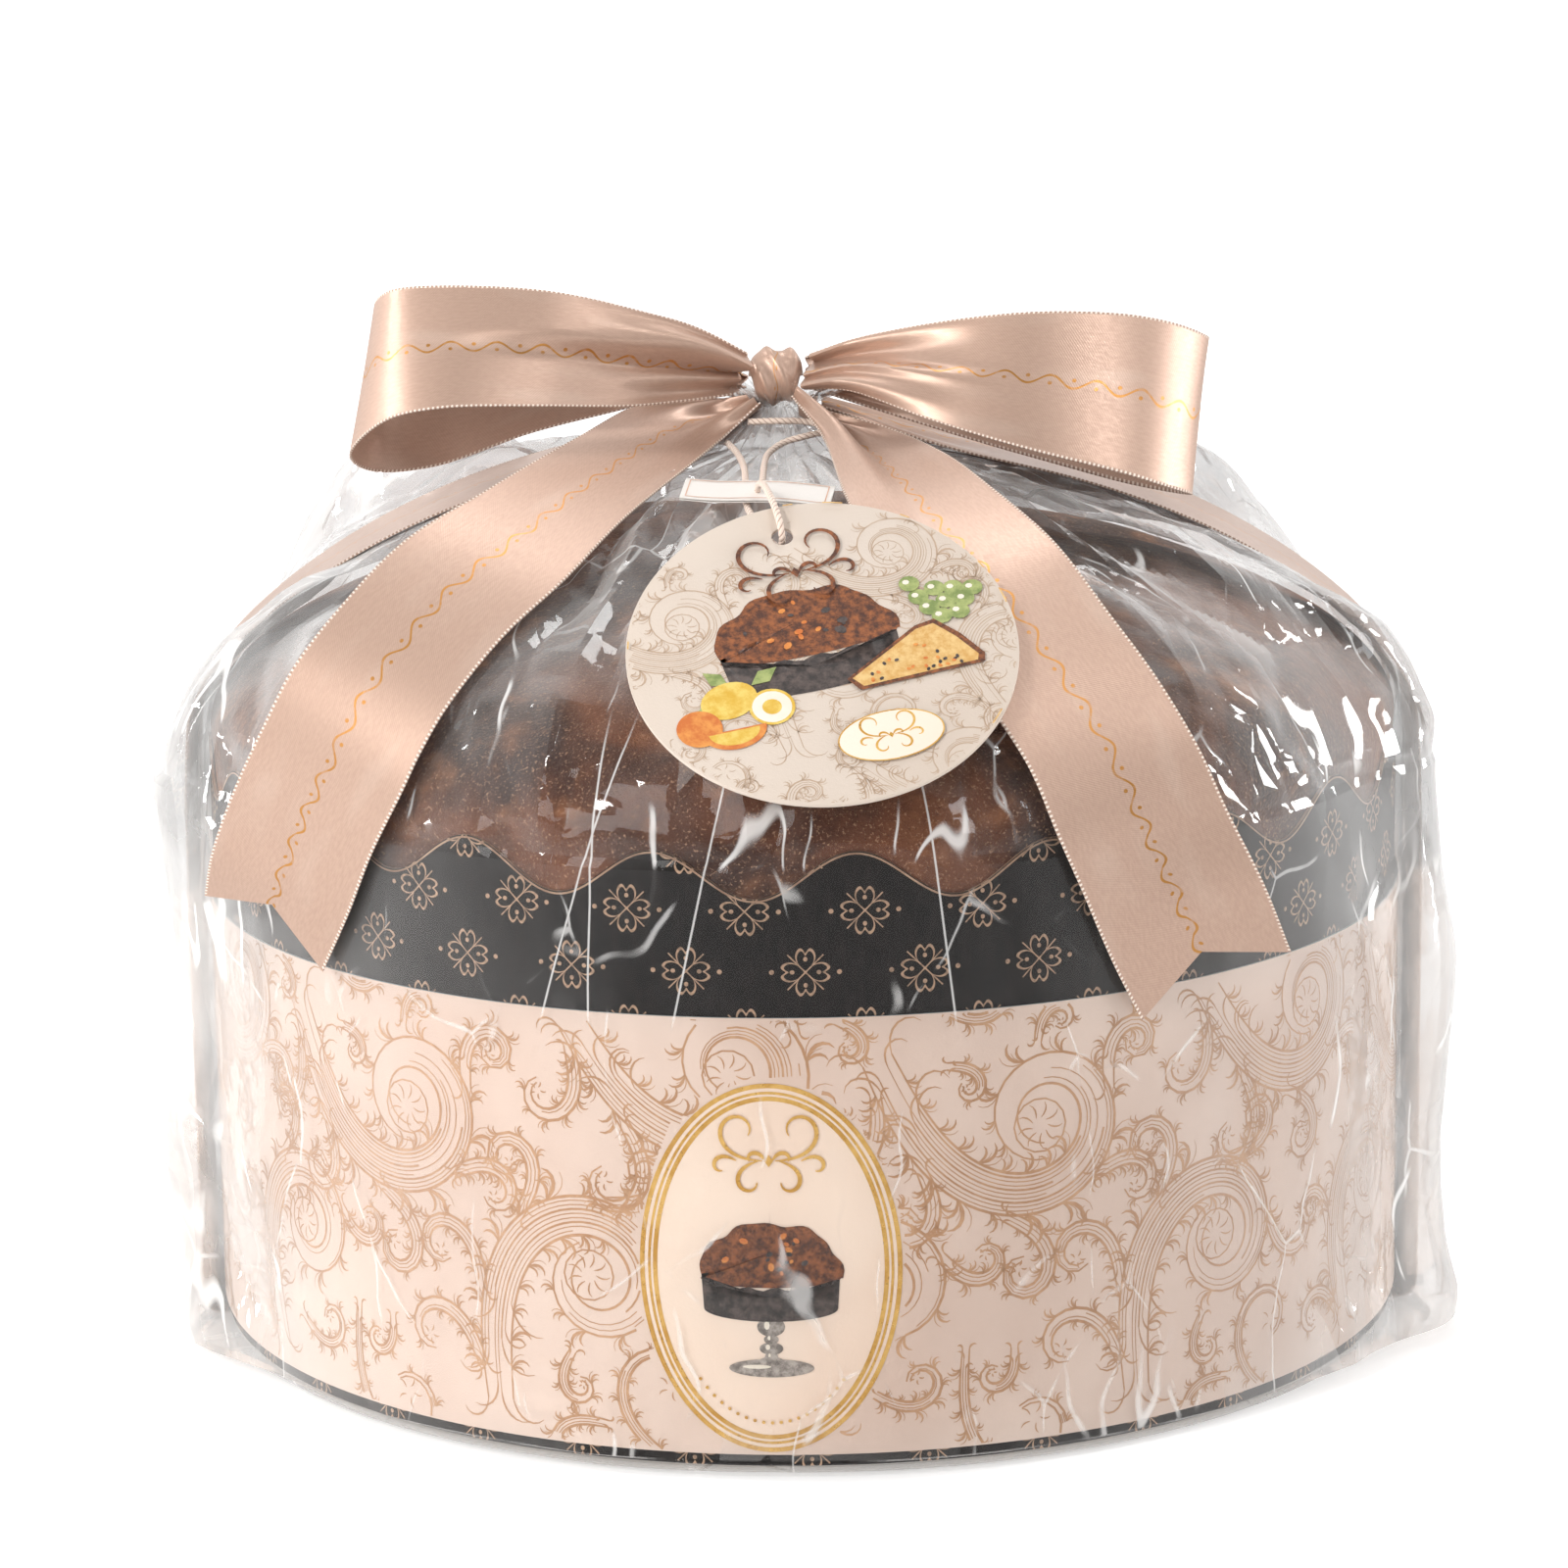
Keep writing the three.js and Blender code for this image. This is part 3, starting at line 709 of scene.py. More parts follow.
def thicken(piece: Piece, thickness: float, offset: float = 0.0) -> None:
    """Gives a sheet its thickness with an applied Solidify."""
    wall = piece.modifiers.new("wall", "SOLIDIFY")
    wall.thickness = thickness
    wall.offset = offset
    apply_all(piece)


def weld(piece: Piece, distance: float = 1e-6) -> None:
    """Joins points that meet and turns the faces outwards."""
    mesh = bmesh.new()
    mesh.from_mesh(piece.data)
    bmesh.ops.remove_doubles(mesh, verts=mesh.verts, dist=distance)
    bmesh.ops.recalc_face_normals(mesh, faces=mesh.faces)
    mesh.to_mesh(piece.data)
    mesh.free()


def lay_sheet(
    name: str, rows: Sequence[Sequence[Vector]], flat: Callable[[int, int], Plan], closed: bool = False
) -> Piece:
    """Makes a sheet from rows of points, with a flat map in metres.

    Args:
        name: The piece's name.
        rows: Rows of equally many points.
        flat: The place of row and column on the flat sheet.
        closed: Whether each row joins round to its start.

    Returns:
        The new piece.
    """
    width = len(rows[0])
    spans = width if closed else width - 1
    faces = []
    corners: list[tuple[int, int]] = []
    for r in range(len(rows) - 1):
        for c in range(spans):
            d = (c + 1) % width
            faces.append((r * width + c, r * width + d, (r + 1) * width + d, (r + 1) * width + c))
            corners += [(r, c), (r, c + 1), (r + 1, c + 1), (r + 1, c)]
    mesh = bpy.data.meshes.new(name)
    mesh.from_pydata([tuple(p) for row in rows for p in row], [], faces)
    layer = mesh.uv_layers.new(name="flat")
    values = np.array([flat(r, c) for r, c in corners], np.float32)
    layer.data.foreach_set("uv", values.ravel())
    piece = add_object(name, mesh)
    smooth(piece)
    return piece


def path_point(points: Sequence[Vector], share: float) -> Vector:
    """A point on the smooth curve through the points, spaced as in the construction.

    Args:
        points: The points it goes through.
        share: How far along, from 0 to 1.

    Returns:
        The point.
    """
    spans = len(points) - 1
    place = min(max(share, 0.0), 1.0) * spans
    index = min(int(place), spans - 1)
    weight = place - index
    p1, p2 = points[index], points[index + 1]
    p0 = points[index - 1] if index > 0 else p1 * 2 - p2
    p3 = points[index + 2] if index + 2 <= spans else p2 * 2 - p1
    dt1 = max(math.sqrt((p2 - p1).length), 1e-6)
    dt0 = max(math.sqrt((p1 - p0).length), 1e-6)
    dt2 = max(math.sqrt((p3 - p2).length), 1e-6)
    t1 = ((p1 - p0) / dt0 - (p2 - p0) / (dt0 + dt1) + (p2 - p1) / dt1) * dt1
    t2 = ((p2 - p1) / dt1 - (p3 - p1) / (dt1 + dt2) + (p3 - p2) / dt2) * dt1
    c2 = (p2 - p1) * 3 - t1 * 2 - t2
    c3 = (p1 - p2) * 2 + t1 + t2
    return p1 + t1 * weight + c2 * weight**2 + c3 * weight**3


def even_path(points: Sequence[Vector], count: int) -> list[Vector]:
    """Points at even steps along the smooth curve through some points."""
    fine = [path_point(points, i / FINE_STEPS) for i in range(FINE_STEPS + 1)]
    lengths = [0.0]
    for a, b in zip(fine, fine[1:]):
        lengths.append(lengths[-1] + (b - a).length)
    made = []
    k = 0
    for i in range(count):
        want = lengths[-1] * i / (count - 1)
        while k < FINE_STEPS - 1 and lengths[k + 1] < want:
            k += 1
        share = (want - lengths[k]) / max(lengths[k + 1] - lengths[k], 1e-9)
        made.append(fine[k].lerp(fine[k + 1], share))
    return made


def path_length(points: Sequence[Vector]) -> float:
    """The length of a line through points."""
    return sum((b - a).length for a, b in zip(points, points[1:]))


def millimetres(points: Sequence[Point]) -> list[Vector]:
    """Points given in millimetres, in metres."""
    return [Vector(p) * MM for p in points]


# ---------------------------------------------------------------- camera, floor, light


@dataclass
class Studio:
    """A plain pale floor, soft lamps and the camera."""

    eye: Vector = field(default_factory=lambda: Vector((0.0, -1.3614, 0.4336)))
    pitch: float = math.radians(12.83)
    yaw: float = -0.0033
    roll: float = -0.0145
    lens: float = 134.93
    floor_size: float = 16.0
    matt_sky: float = 0.36
    gloss_sky: float = 0.16
    gloss_backdrop: float = 1.0

    def place_camera(self) -> None:
        """Sets the scene's camera a little above the loaf, looking slightly down."""
        data = bpy.data.cameras.new("camera")
        data.lens = self.lens
        data.sensor_width = 36.0
        data.clip_start, data.clip_end = 0.05, 60.0
        camera = add_object("camera", data)
        level = math.cos(self.pitch)
        forward = Vector((math.sin(self.yaw) * level, math.cos(self.yaw) * level, -math.sin(self.pitch)))
        right = forward.cross(Vector((0, 0, 1))).normalized()
        up = right.cross(forward)
        across = right * math.cos(self.roll) + up * math.sin(self.roll)
        rise = up * math.cos(self.roll) - right * math.sin(self.roll)
        turned = Matrix((across, rise, -forward)).transposed().to_4x4()
        camera.matrix_world = Matrix.Translation(self.eye) @ turned
        bpy.context.scene.camera = camera

    def lay_floor(self) -> None:
        """Lays the floor just under the object."""
        deselect()
        bpy.ops.mesh.primitive_plane_add(size=self.floor_size, location=(0, 0, -0.0004))
        floor = settle(bpy.context.object, "studio_floor")
        sh = Shader("studio_floor")
        tone = sh.range(sh.noise(sh.place(), 3.0, 2.0), 0.3, 0.7, 0.59, 0.60)
        away = sh.length(sh.place())
        glow = sh.range(away, 0.22, 1.5, 0.50, 0.85)
        mirrored = sh.node("LightPath").outputs["Is Glossy Ray"]
        glow = sh.mul(glow, sh.sub(1.0, sh.mul(mirrored, 0.75)))
        sh.surface(
            Base_Color=sh.join(tone, tone, tone),
            Roughness=0.9,
            Emission_Color=(1.0, 1.0, 1.0),
            Emission_Strength=glow,
        )
        floor.data.materials.append(sh.material)
        floor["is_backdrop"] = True

    def lamp(self, name: str, place: Point, size: Plan, watts: float, colour: Colour) -> None:
        """Adds an oblong soft lamp that faces the loaf.

        Args:
            name: The lamp's name.
            place: Where it stands.
            size: Its width and height.
            watts: Its strength.
            colour: Its colour.
        """
        data = bpy.data.lights.new(name, "AREA")
        data.shape = "RECTANGLE"
        data.size, data.size_y = size
        data.energy = watts
        data.color = colour
        lamp = add_object(name, data)
        lamp.location = place
        aim = Vector((0, 0, 0.12)) - Vector(place)
        lamp.rotation_euler = aim.to_track_quat("-Z", "Y").to_euler()

    def light(self) -> None:
        """Hangs the lamps in a world that is white to see, even on matt things, and dim in front in gloss."""
        self.lamp("key", (-1.25, -1.55, 1.45), (0.30, 0.34), 20.0, (1.0, 0.985, 0.965))
        self.lamp("front", (-1.5, -2.15, 0.85), (1.5, 1.0), 23.0, (1.0, 0.99, 0.98))
        self.lamp("fill", (1.75, -1.25, 0.95), (0.18, 1.0), 5.0, (0.98, 0.985, 1.0))
        self.lamp("high", (0.75, -0.9, 1.9), (0.24, 0.24), 5.0, (1.0, 1.0, 1.0))
        self.lamp("top", (0.1, 0.7, 2.0), (0.7, 0.3), 6.5, (1.0, 1.0, 1.0))
        self.lamp("strip_left", (-1.6, 0.1, 0.55), (0.16, 1.2), 16.0, (1.0, 1.0, 1.0))
        self.lamp("strip_right", (1.7, 0.3, 0.6), (0.16, 1.2), 16.0, (1.0, 1.0, 1.0))
        world = bpy.data.worlds.new("studio")
        world.use_nodes = True
        tree = world.node_tree
        tree.nodes.clear()
        path = tree.nodes.new("ShaderNodeLightPath")
        out = tree.nodes.new("ShaderNodeOutputWorld")
        last = None
        skies = ((None, self.gloss_sky), ("Is Diffuse Ray", self.matt_sky), ("Is Camera Ray", 1.0))
        for ray, strength in skies:
            sky = tree.nodes.new("ShaderNodeBackground")
            sky.inputs[0].default_value = (1.0, 1.0, 1.0, 1.0)
            sky.inputs[1].default_value = strength
            if last is None:
                where = tree.nodes.new("ShaderNodeTexCoord")
                parts = tree.nodes.new("ShaderNodeSeparateXYZ")
                behind = tree.nodes.new("ShaderNodeMapRange")
                tree.links.new(where.outputs["Generated"], parts.inputs[0])
                tree.links.new(parts.outputs["Y"], behind.inputs[0])
                for slot, value in enumerate((-0.45, 0.20, self.gloss_sky, self.gloss_backdrop), 1):
                    behind.inputs[slot].default_value = value
                tree.links.new(behind.outputs[0], sky.inputs[1])
                last = sky
                continue
            both = tree.nodes.new("ShaderNodeMixShader")
            tree.links.new(path.outputs[ray], both.inputs[0])
            tree.links.new(last.outputs[0], both.inputs[1])
            tree.links.new(sky.outputs[0], both.inputs[2])
            last = both
        tree.links.new(last.outputs[0], out.inputs[0])
        bpy.context.scene.world = world
        bpy.context.scene.view_settings.view_transform = "Standard"


# ---------------------------------------------------------------- string


@dataclass
class TagString:
    """Cotton string: round the front of the neck, through the label and the tag, and back."""

    diameter: float = 0.0016
    sides: int = 18
    steps: int = 240
    lay_length: float = 0.0042
    route: list[Point] = field(
        default_factory=lambda: [
(-11.5, -15.5, 213.2), (-5, -17.2, 213.6), (1.5, -16.6, 213.3), (5.6, -17.8, 212.4),
            (6, -20.4, 211.6), (2.5, -22.3, 211), (-3, -24, 209.8), (-6.6, -29, 208.3),
            (-7.8, -38, 206.9), (-8.2, -47, 205), (-8.8, -54.5, 203.3), (-9.3, -59.2, 203.8),
            (-9.2, -62.5, 206), (-8.2, -70, 208.2), (-6.8, -80, 208), (-5.4, -88, 206.2),
            (-4.2, -92.6, 203), (-3.8, -92.4, 200.1), (-4.2, -89.2, 197.4), (-6, -83, 197),
            (-9, -74, 199.2), (-11.6, -63, 201.7), (-12, -52, 204.1), (-12.4, -40, 206.6),
            (-14.2, -29, 208.4), (-16.4, -20.5, 209.2),
        ]
    )

    def build(self, finishes: Finishes) -> Piece:
        line = even_path(millimetres(self.route), self.steps)
        length = path_length(line)
        normal = Vector((1, 0, 0))
        rows = []
        for i, point in enumerate(line):
            along = (line[min(i + 1, len(line) - 1)] - line[max(i - 1, 0)]).normalized()
            normal = (normal - along * normal.dot(along)).normalized()
            side = along.cross(normal)
            travelled = length * i / (self.steps - 1)
            row = []
            for k in range(self.sides):
                angle = FULL_TURN * k / self.sides
                strand = abs(math.cos(1.5 * (angle - FULL_TURN * travelled / self.lay_length)))
                radius = self.diameter / 2 * (0.78 + 0.22 * strand)
                row.append(point + (normal * math.cos(angle) + side * math.sin(angle)) * radius)
            rows.append(row)
        rows = [[line[0]] * self.sides, *rows, [line[-1]] * self.sides]
        piece = lay_sheet(
            "tag_string_twist",
            rows,
            lambda r, c: (length * min(max(r - 1, 0), self.steps - 1) / (self.steps - 1), c / self.sides),
            closed=True,
        )
        weld(piece)
        piece.data.materials.append(finishes.cotton)
        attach(piece, BODY)
        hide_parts("tag_string")
        return piece


# ---------------------------------------------------------------- loaf and mould


def lathe(name: str, outline: Sequence[Plan], segments: int) -> Piece:
    """Draws a round body out of a ring by extruding and resizing it along an outline.

    Args:
        name: The piece's name.
        outline: Radius and height of each ring, in metres, from the first to the last.
        segments: Points round a ring.

    Returns:
        The open body, ring by ring.
    """
    deselect()
    radius, height = outline[0]
    bpy.ops.mesh.primitive_circle_add(vertices=segments, radius=radius, location=(0, 0, height))
    piece = bpy.context.object
    bpy.ops.object.mode_set(mode="EDIT")
    bpy.ops.mesh.select_all(action="SELECT")
    for next_radius, next_height in outline[1:]:
        bpy.ops.mesh.extrude_region_move(TRANSFORM_OT_translate={"value": (0, 0, next_height - height)})
        share = next_radius / radius
        bpy.ops.transform.resize(value=(share, share, 1), center_override=(0, 0, 0))
        radius, height = next_radius, next_height
    bpy.ops.object.mode_set(mode="OBJECT")
    return settle(piece, name)


def smooth_outline(outline: Sequence[Plan], count: int) -> list[Plan]:
    """An outline drawn again with many even steps."""
    line = even_path([Vector((r, 0, z)) for r, z in outline], count)
    return [(max(p.x, 0.0004), p.z) for p in line]


@dataclass
class Loaf:
    """The baked loaf: straight in its mould, swollen over the edge, with a lumpy dome."""

    segments: int = 300
    lump: float = 0.0030
    pit: float = 0.0022
    wall: tuple[Plan, ...] = ((0.1359, 0.0037), (0.1389, 0.0067), (0.1389, 0.060))
    crown: tuple[Plan, ...] = (
        (0.1389, 0.1250), (0.1392, 0.1380), (0.1398, 0.1450), (0.1384, 0.1500), (0.1350, 0.1550),
        (0.1290, 0.1605), (0.1190, 0.1665), (0.1050, 0.1725), (0.0880, 0.1785), (0.0680, 0.1835),
        (0.0450, 0.1875), (0.0220, 0.1896), (0.0, 0.1903),
    )

    def sink(self, place: Vector) -> float:
        """How far the crust sinks below its outline at a place, in metres.

        Args:
            place: A point of the smooth crown.

        Returns:
            The depth, at least 0.
        """
        turn = math.atan2(place.y, place.x)
        cross = min(abs(math.sin(turn - 0.35)), abs(math.cos(turn - 0.35)))
        radius = math.hypot(place.x, place.y)
        slash = math.exp(-((cross * radius / 0.009) ** 2)) * (1 - smoothstep(radius, 0.085, 0.122))
        lumps = 0.5 + 0.5 * noise.noise(place * 26.0)
        swell = 0.5 + 0.5 * noise.noise(place * 11.0 + Vector((3, 7, 1)))
        pits = max(0.0, noise.noise(place * 75.0) - 0.28) * 1.6
        return self.lump * (0.55 * lumps + 0.45 * swell) + self.pit * pits + 0.0032 * slash

    def build(self, finishes: Finishes) -> Piece:
        """Makes the loaf and sinks its crown into lumps, pits and a crossed slash."""
        outline = [*self.wall, *smooth_outline(self.crown, 110)]
        piece = lathe("loaf_crust", outline, self.segments)
        make_active(piece)
        bpy.ops.object.mode_set(mode="EDIT")
        bpy.ops.mesh.select_all(action="SELECT")
        bpy.ops.mesh.region_to_loop()
        bpy.ops.mesh.edge_face_add()
        bpy.ops.mesh.select_all(action="SELECT")
        bpy.ops.mesh.normals_make_consistent(inside=False)
        bpy.ops.object.mode_set(mode="OBJECT")
        for vertex in piece.data.vertices:
            place = vertex.co.copy()
            share = smoothstep(place.z, 0.128, 0.150)
            if share > 0:
                depth = self.sink(place) * share
                vertex.co = place + Vector((-place.x * 0.4, -place.y * 0.4, -0.11)).normalized() * depth
        smooth(piece)
        piece.data.materials.append(finishes.crust)
        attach(piece, BODY)
        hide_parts("loaf")
        return piece


@dataclass
class Mould:
    """The paper baking mould: a wall with a scalloped edge and a board disc under the loaf."""

    radius: float = 0.140
    paper: float = 0.0007
    bottom: float = 0.0023
    edge_middle: float = 0.1352
    scallop: float = 0.0052
    scallops: int = 20
    scallop_turn: float = math.radians(-85.5)
    line_down: float = 0.0005
    line_half: float = 0.00022
    segments: int = 640

    def edge(self, turn: float) -> float:
        """The height of the wall's edge at a turn."""
        return self.edge_middle + self.scallop * math.cos(self.scallops * (turn - self.scallop_turn))

    def build_wall(self, finishes: Finishes) -> Piece:
        """Makes the wall as one ring of paper with its print mapped flat."""
        inner = self.radius - self.paper
        rows: list[list[Vector]] = []
        ups = 24
        ring = [(inner, up / ups) for up in range(ups + 1)]
        ring += [(self.radius, up / ups) for up in range(ups, -1, -1)]
        for radius, share in [*ring, ring[0]]:
            row = []
            for i in range(self.segments):
                turn = FULL_TURN * i / self.segments
                low, high = self.bottom, self.edge(turn)
                cockle = 0.00012 * noise.noise(Vector((math.cos(turn) * 9, math.sin(turn) * 9, share * 3)))
                far = radius - abs(cockle)
                row.append(polar(far, turn, low + (high - low) * share))
            rows.append(row)
        step = FULL_TURN * self.radius / self.segments
        piece = lay_sheet("mould_paper_wall", rows, lambda r, c: (c * step, 0.0), closed=True)
        mesh = bmesh.new()
        mesh.from_mesh(piece.data)
        layer = mesh.loops.layers.uv["flat"]
        for face in mesh.faces:
            for loop in face.loops:
                loop[layer].uv.y = loop.vert.co.z
        bmesh.ops.remove_doubles(mesh, verts=mesh.verts, dist=1e-6)
        bmesh.ops.recalc_face_normals(mesh, faces=mesh.faces)
        for face in mesh.faces:
            middle = face.calc_center_median()
            is_rim = middle.z > 0.12 and abs(face.normal.z) > 0.7
            face.material_index = 1 if is_rim else 0
        mesh.to_mesh(piece.data)
        mesh.free()
        smooth(piece, 40)
        piece.data.materials.append(finishes.mould)
        piece.data.materials.append(finishes.mould_edge)
        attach(piece, BODY)
        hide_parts("mould_wall")
        return piece

    def build_edge_line(self, finishes: Finishes) -> Piece:
        """Prints the thin tan line that follows the scallops just under the edge."""
        strip = PrintStrip("mould_edge_line", self.on_wall)
        turns = [FULL_TURN * i / self.segments for i in range(self.segments + 1)]
        strip.stroke([(turn * self.radius, self.edge(turn) - self.line_down, self.line_half) for turn in turns])
        piece = strip.build([finishes.mould_edge])
        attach(piece, BODY)
        return piece

    def on_wall(self, u: float, v: float) -> Vector:
        """A place just outside the wall from its flat print."""
        return polar(self.radius + 0.00006, u / self.radius, v)

    def dress_board(self, finishes: Finishes) -> None:
        """Gives the board disc, whose shape is right, its card finish."""
        node = frame_node("mould_base")
        node.data.materials.clear()
        node.data.materials.append(finishes.board)


def frame_node(name: str) -> Piece:
    """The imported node's own object."""
    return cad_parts[name]


# ---------------------------------------------------------------- print


class PrintStrip:
    """Flat printed strokes and shapes, laid on a curved or plain surface."""

    def __init__(
        self, name: str, lay: Callable[[float, float], Vector], keep: Callable[[float, float], bool] | None = None
    ) -> None:
        """Starts an empty print.

        Args:
            name: The piece's name.
            lay: Turns a flat place in metres into a place on the surface.
            keep: Tells whether a flat place may hold print.
        """
        self.name = name
        self.lay = lay
        self.keep = keep or (lambda u, v: True)
        self.above = 0.00005
        self.points: list[Vector] = []
        self.faces: list[tuple[int, ...]] = []
        self.inks: list[int] = []

    def rise(self) -> None:
        """Lifts what is drawn next a hair above what is already there."""
        self.above += 0.000008

    def stroke(self, line: Sequence[Point], ink: int = 0) -> None:
        """Adds a stroke along (u, v, half width) points, cut where print isn't kept."""
        run: list[Point] = []
        for point in line:
            if self.keep(point[0], point[1]):
                run.append(point)
            else:
                self._strip(run, ink)
                run = []
        self._strip(run, ink)

    def _strip(self, run: Sequence[Point], ink: int) -> None:
        """Adds one uncut stroke."""
        if len(run) < 2:
            return
        start = len(self.points)
        for i, (u, v, half) in enumerate(run):
            before, after = run[max(i - 1, 0)], run[min(i + 1, len(run) - 1)]
            du, dv = after[0] - before[0], after[1] - before[1]
            size = math.hypot(du, dv) or 1e-9
            nu, nv = -dv / size * half, du / size * half
            self.points.append(self.lay(u - nu, v - nv))
            self.points.append(self.lay(u + nu, v + nv))
        for i in range(len(run) - 1):
            a = start + 2 * i
            self.faces.append((a, a + 2, a + 3, a + 1))
            self.inks.append(ink)

    def patch(self, outline: Sequence[Plan], ink: int = 0) -> None:
        """Adds a filled shape, fanned from its middle."""
        middle_u = sum(p[0] for p in outline) / len(outline)
        middle_v = sum(p[1] for p in outline) / len(outline)
        if not self.keep(middle_u, middle_v):
            return
        widest = max(math.hypot(u - middle_u, v - middle_v) for u, v in outline)
        rings = max(1, math.ceil(widest / 0.003))
        start = len(self.points)
        self.points.append(self.lay(middle_u, middle_v))
        for ring in range(1, rings + 1):
            share = ring / rings
            for u, v in outline:
                self.points.append(self.lay(middle_u + (u - middle_u) * share, middle_v + (v - middle_v) * share))
        count = len(outline)
        for i in range(count):
            self.faces.append((start, start + 1 + i, start + 1 + (i + 1) % count))
            self.inks.append(ink)
        for ring in range(rings - 1):
            inner = start + 1 + ring * count
            for i in range(count):
                j = (i + 1) % count
                self.faces.append((inner + i, inner + count + i, inner + count + j, inner + j))
                self.inks.append(ink)

    def build(self, inks: Sequence[Material]) -> Piece:
        """Makes the print's mesh.

        Args:
            inks: Its materials, in the order that strokes name them.

        Returns:
            The print.
        """
        mesh = bpy.data.meshes.new(self.name)
        mesh.from_pydata([tuple(p) for p in self.points], [], self.faces)
        for ink in inks:
            mesh.materials.append(ink)
        mesh.polygons.foreach_set("material_index", self.inks)
        piece = add_object(self.name, mesh)
        smooth(piece)
        return piece


class ScrollDrawing:
    """Leafy scrolls in the manner of old engravings, as tapered strokes in millimetres."""

    def __init__(self, seed: int) -> None:
        """Starts an empty drawing."""
        self.random = random.Random(seed)
        self.strokes: list[list[Point]] = []

    def hook(
        self, x: float, y: float, heading: float, length: float, bend: float, width: float, steps: int = 6
    ) -> None:
        """Draws one tapered stroke that curls more towards its tip.

        Args:
            x: Start across.
            y: Start up.
            heading: Start direction in radians.
            length: Its length.
            bend: How far it has turned at the tip, in radians.
            width: Its widest half width.
            steps: Points along it.
        """
        line = []
        for i in range(steps + 1):
            share = i / steps
            line.append((x, y, max(width * math.sin(math.pi * (0.12 + 0.82 * share)), 0.06)))
            turn = heading + bend * share**1.4
            x += length / steps * math.cos(turn)
            y += length / steps * math.sin(turn)
        self.strokes.append(line)

    def frill(self, x: float, y: float, heading: float, size: float, side: int) -> None:
        """Draws a small curled leaf lobe from four nested strokes."""
        self.hook(x, y, heading, size, side * 2.5, 0.045 * size + 0.08)
        self.hook(x, y, heading + side * 0.50, size * 0.66, side * 2.3, 0.04 * size + 0.05, 5)
        self.hook(x, y, heading - side * 0.42, size * 0.95, side * 2.0, 0.12, 5)
        self.hook(x, y, heading + side * 0.20, size * 0.55, side * 1.4, 0.10, 3)

    def sweep(
        self, x: float, y: float, heading: float, length: float, turns: float, width: float, shoots: int = 0
    ) -> None:
        """Draws a broad engraved stem that curls ever tighter into an eye, with frills on its edges.

        Args:
            x: Where its open end starts, across.
            y: Where its open end starts, up.
            heading: Start direction in radians.
            length: Length of its middle line.
            turns: Whole turns that it makes, negative to the right.
            width: Its widest.
            shoots: Smaller stems that grow from it.
        """
        steps = max(16, int(length / 2.3))
        way = 1 if turns > 0 else -1
        spine = []
        for i in range(steps + 1):
            turn = heading + FULL_TURN * turns * (i / steps) ** 2
            spine.append((x, y, turn))
            x += length / steps * math.cos(turn)
            y += length / steps * math.sin(turn)

        def edge_point(i: int, across: float) -> Plan:
            """A place across the stem, from -1 at its right edge to 1 at its left."""
            px, py, turn = spine[i]
            off = across * self.half_width(i / steps, width)
            return px - off * math.sin(turn), py + off * math.cos(turn)

        self.engrave(spine, edge_point, width)
        travelled = 0.0
        for i in range(1, steps):
            travelled += length / steps
            share = i / steps
            size = 2.1 + 1.18 * self.half_width(share, width)
            if travelled < size * 0.86 or share > 0.93:
                continue
            travelled = 0.0
            for side in (-1, 1):
                if side == way and share > 0.55:
                    continue
                grow = size * self.random.uniform(0.75, 1.25) * (0.8 if side == way else 1.0)
                self.frill(*edge_point(i, side), spine[i][2] + side * 0.55, grow, side)
        for n in range(shoots):
            share = 0.06 + 0.60 * n / max(shoots - 1, 1)
            side = way if n % 3 == 1 and share < 0.2 else -way
            i = int(share * steps)
            reach = length * self.random.uniform(0.26, 0.36) * (1 - 0.3 * share)
            curl = side * self.random.uniform(0.75, 1.15)
            self.sweep(*edge_point(i, side), spine[i][2] + side * 0.35, reach, curl, width * 0.34)
        self.draw_eye(spine[-1], length / (4 * math.pi * abs(turns)) * 0.75, way, shoots > 0)

    def half_width(self, share: float, width: float) -> float:
        """Half the width of a stem at a share of its length."""
        return width / 2 * (0.16 + 0.84 * math.sin(math.pi * min(0.26 + 0.62 * share, 0.97)) ** 1.3)

    def engrave(
        self, spine: Sequence[Point], edge_point: Callable[[int, float], Plan], width: float
    ) -> None:
        """Fills a stem with fine lines that run along it and fray at its open end.

        Args:
            spine: The middle line, as places with headings.
            edge_point: Gives a place across the stem at a step along it.
            width: The stem's widest.
        """
        steps = len(spine) - 1
        strands = max(3, int(width / 0.95))
        for k in range(strands + 1):
            across = 2 * k / strands - 1
            rim = k in (0, strands)
            first = 0.0 if rim else self.random.uniform(0.0, 0.22)
            last = 1.0 if rim else self.random.uniform(0.42, 0.98)
            heavy = 0.29 if rim else 0.09 + 0.11 * (k % 3 == 0)
            line = []
            for i in range(math.ceil(first * steps), int(last * steps) + 1):
                swell = 0.45 + 0.55 * math.sin(math.pi * i / steps)
                line.append((*edge_point(i, across), heavy * swell + 0.05))
            if len(line) > 1:
                self.strokes.append(line)
                side = 1 if across > 0 else -1
                back = spine[0][2] + math.pi - side * 0.25 * abs(across)
                reach = width * self.random.uniform(0.7, 1.5)
                self.hook(line[0][0], line[0][1], back, reach, -side * self.random.uniform(1.6, 3.2), 0.26, 7)

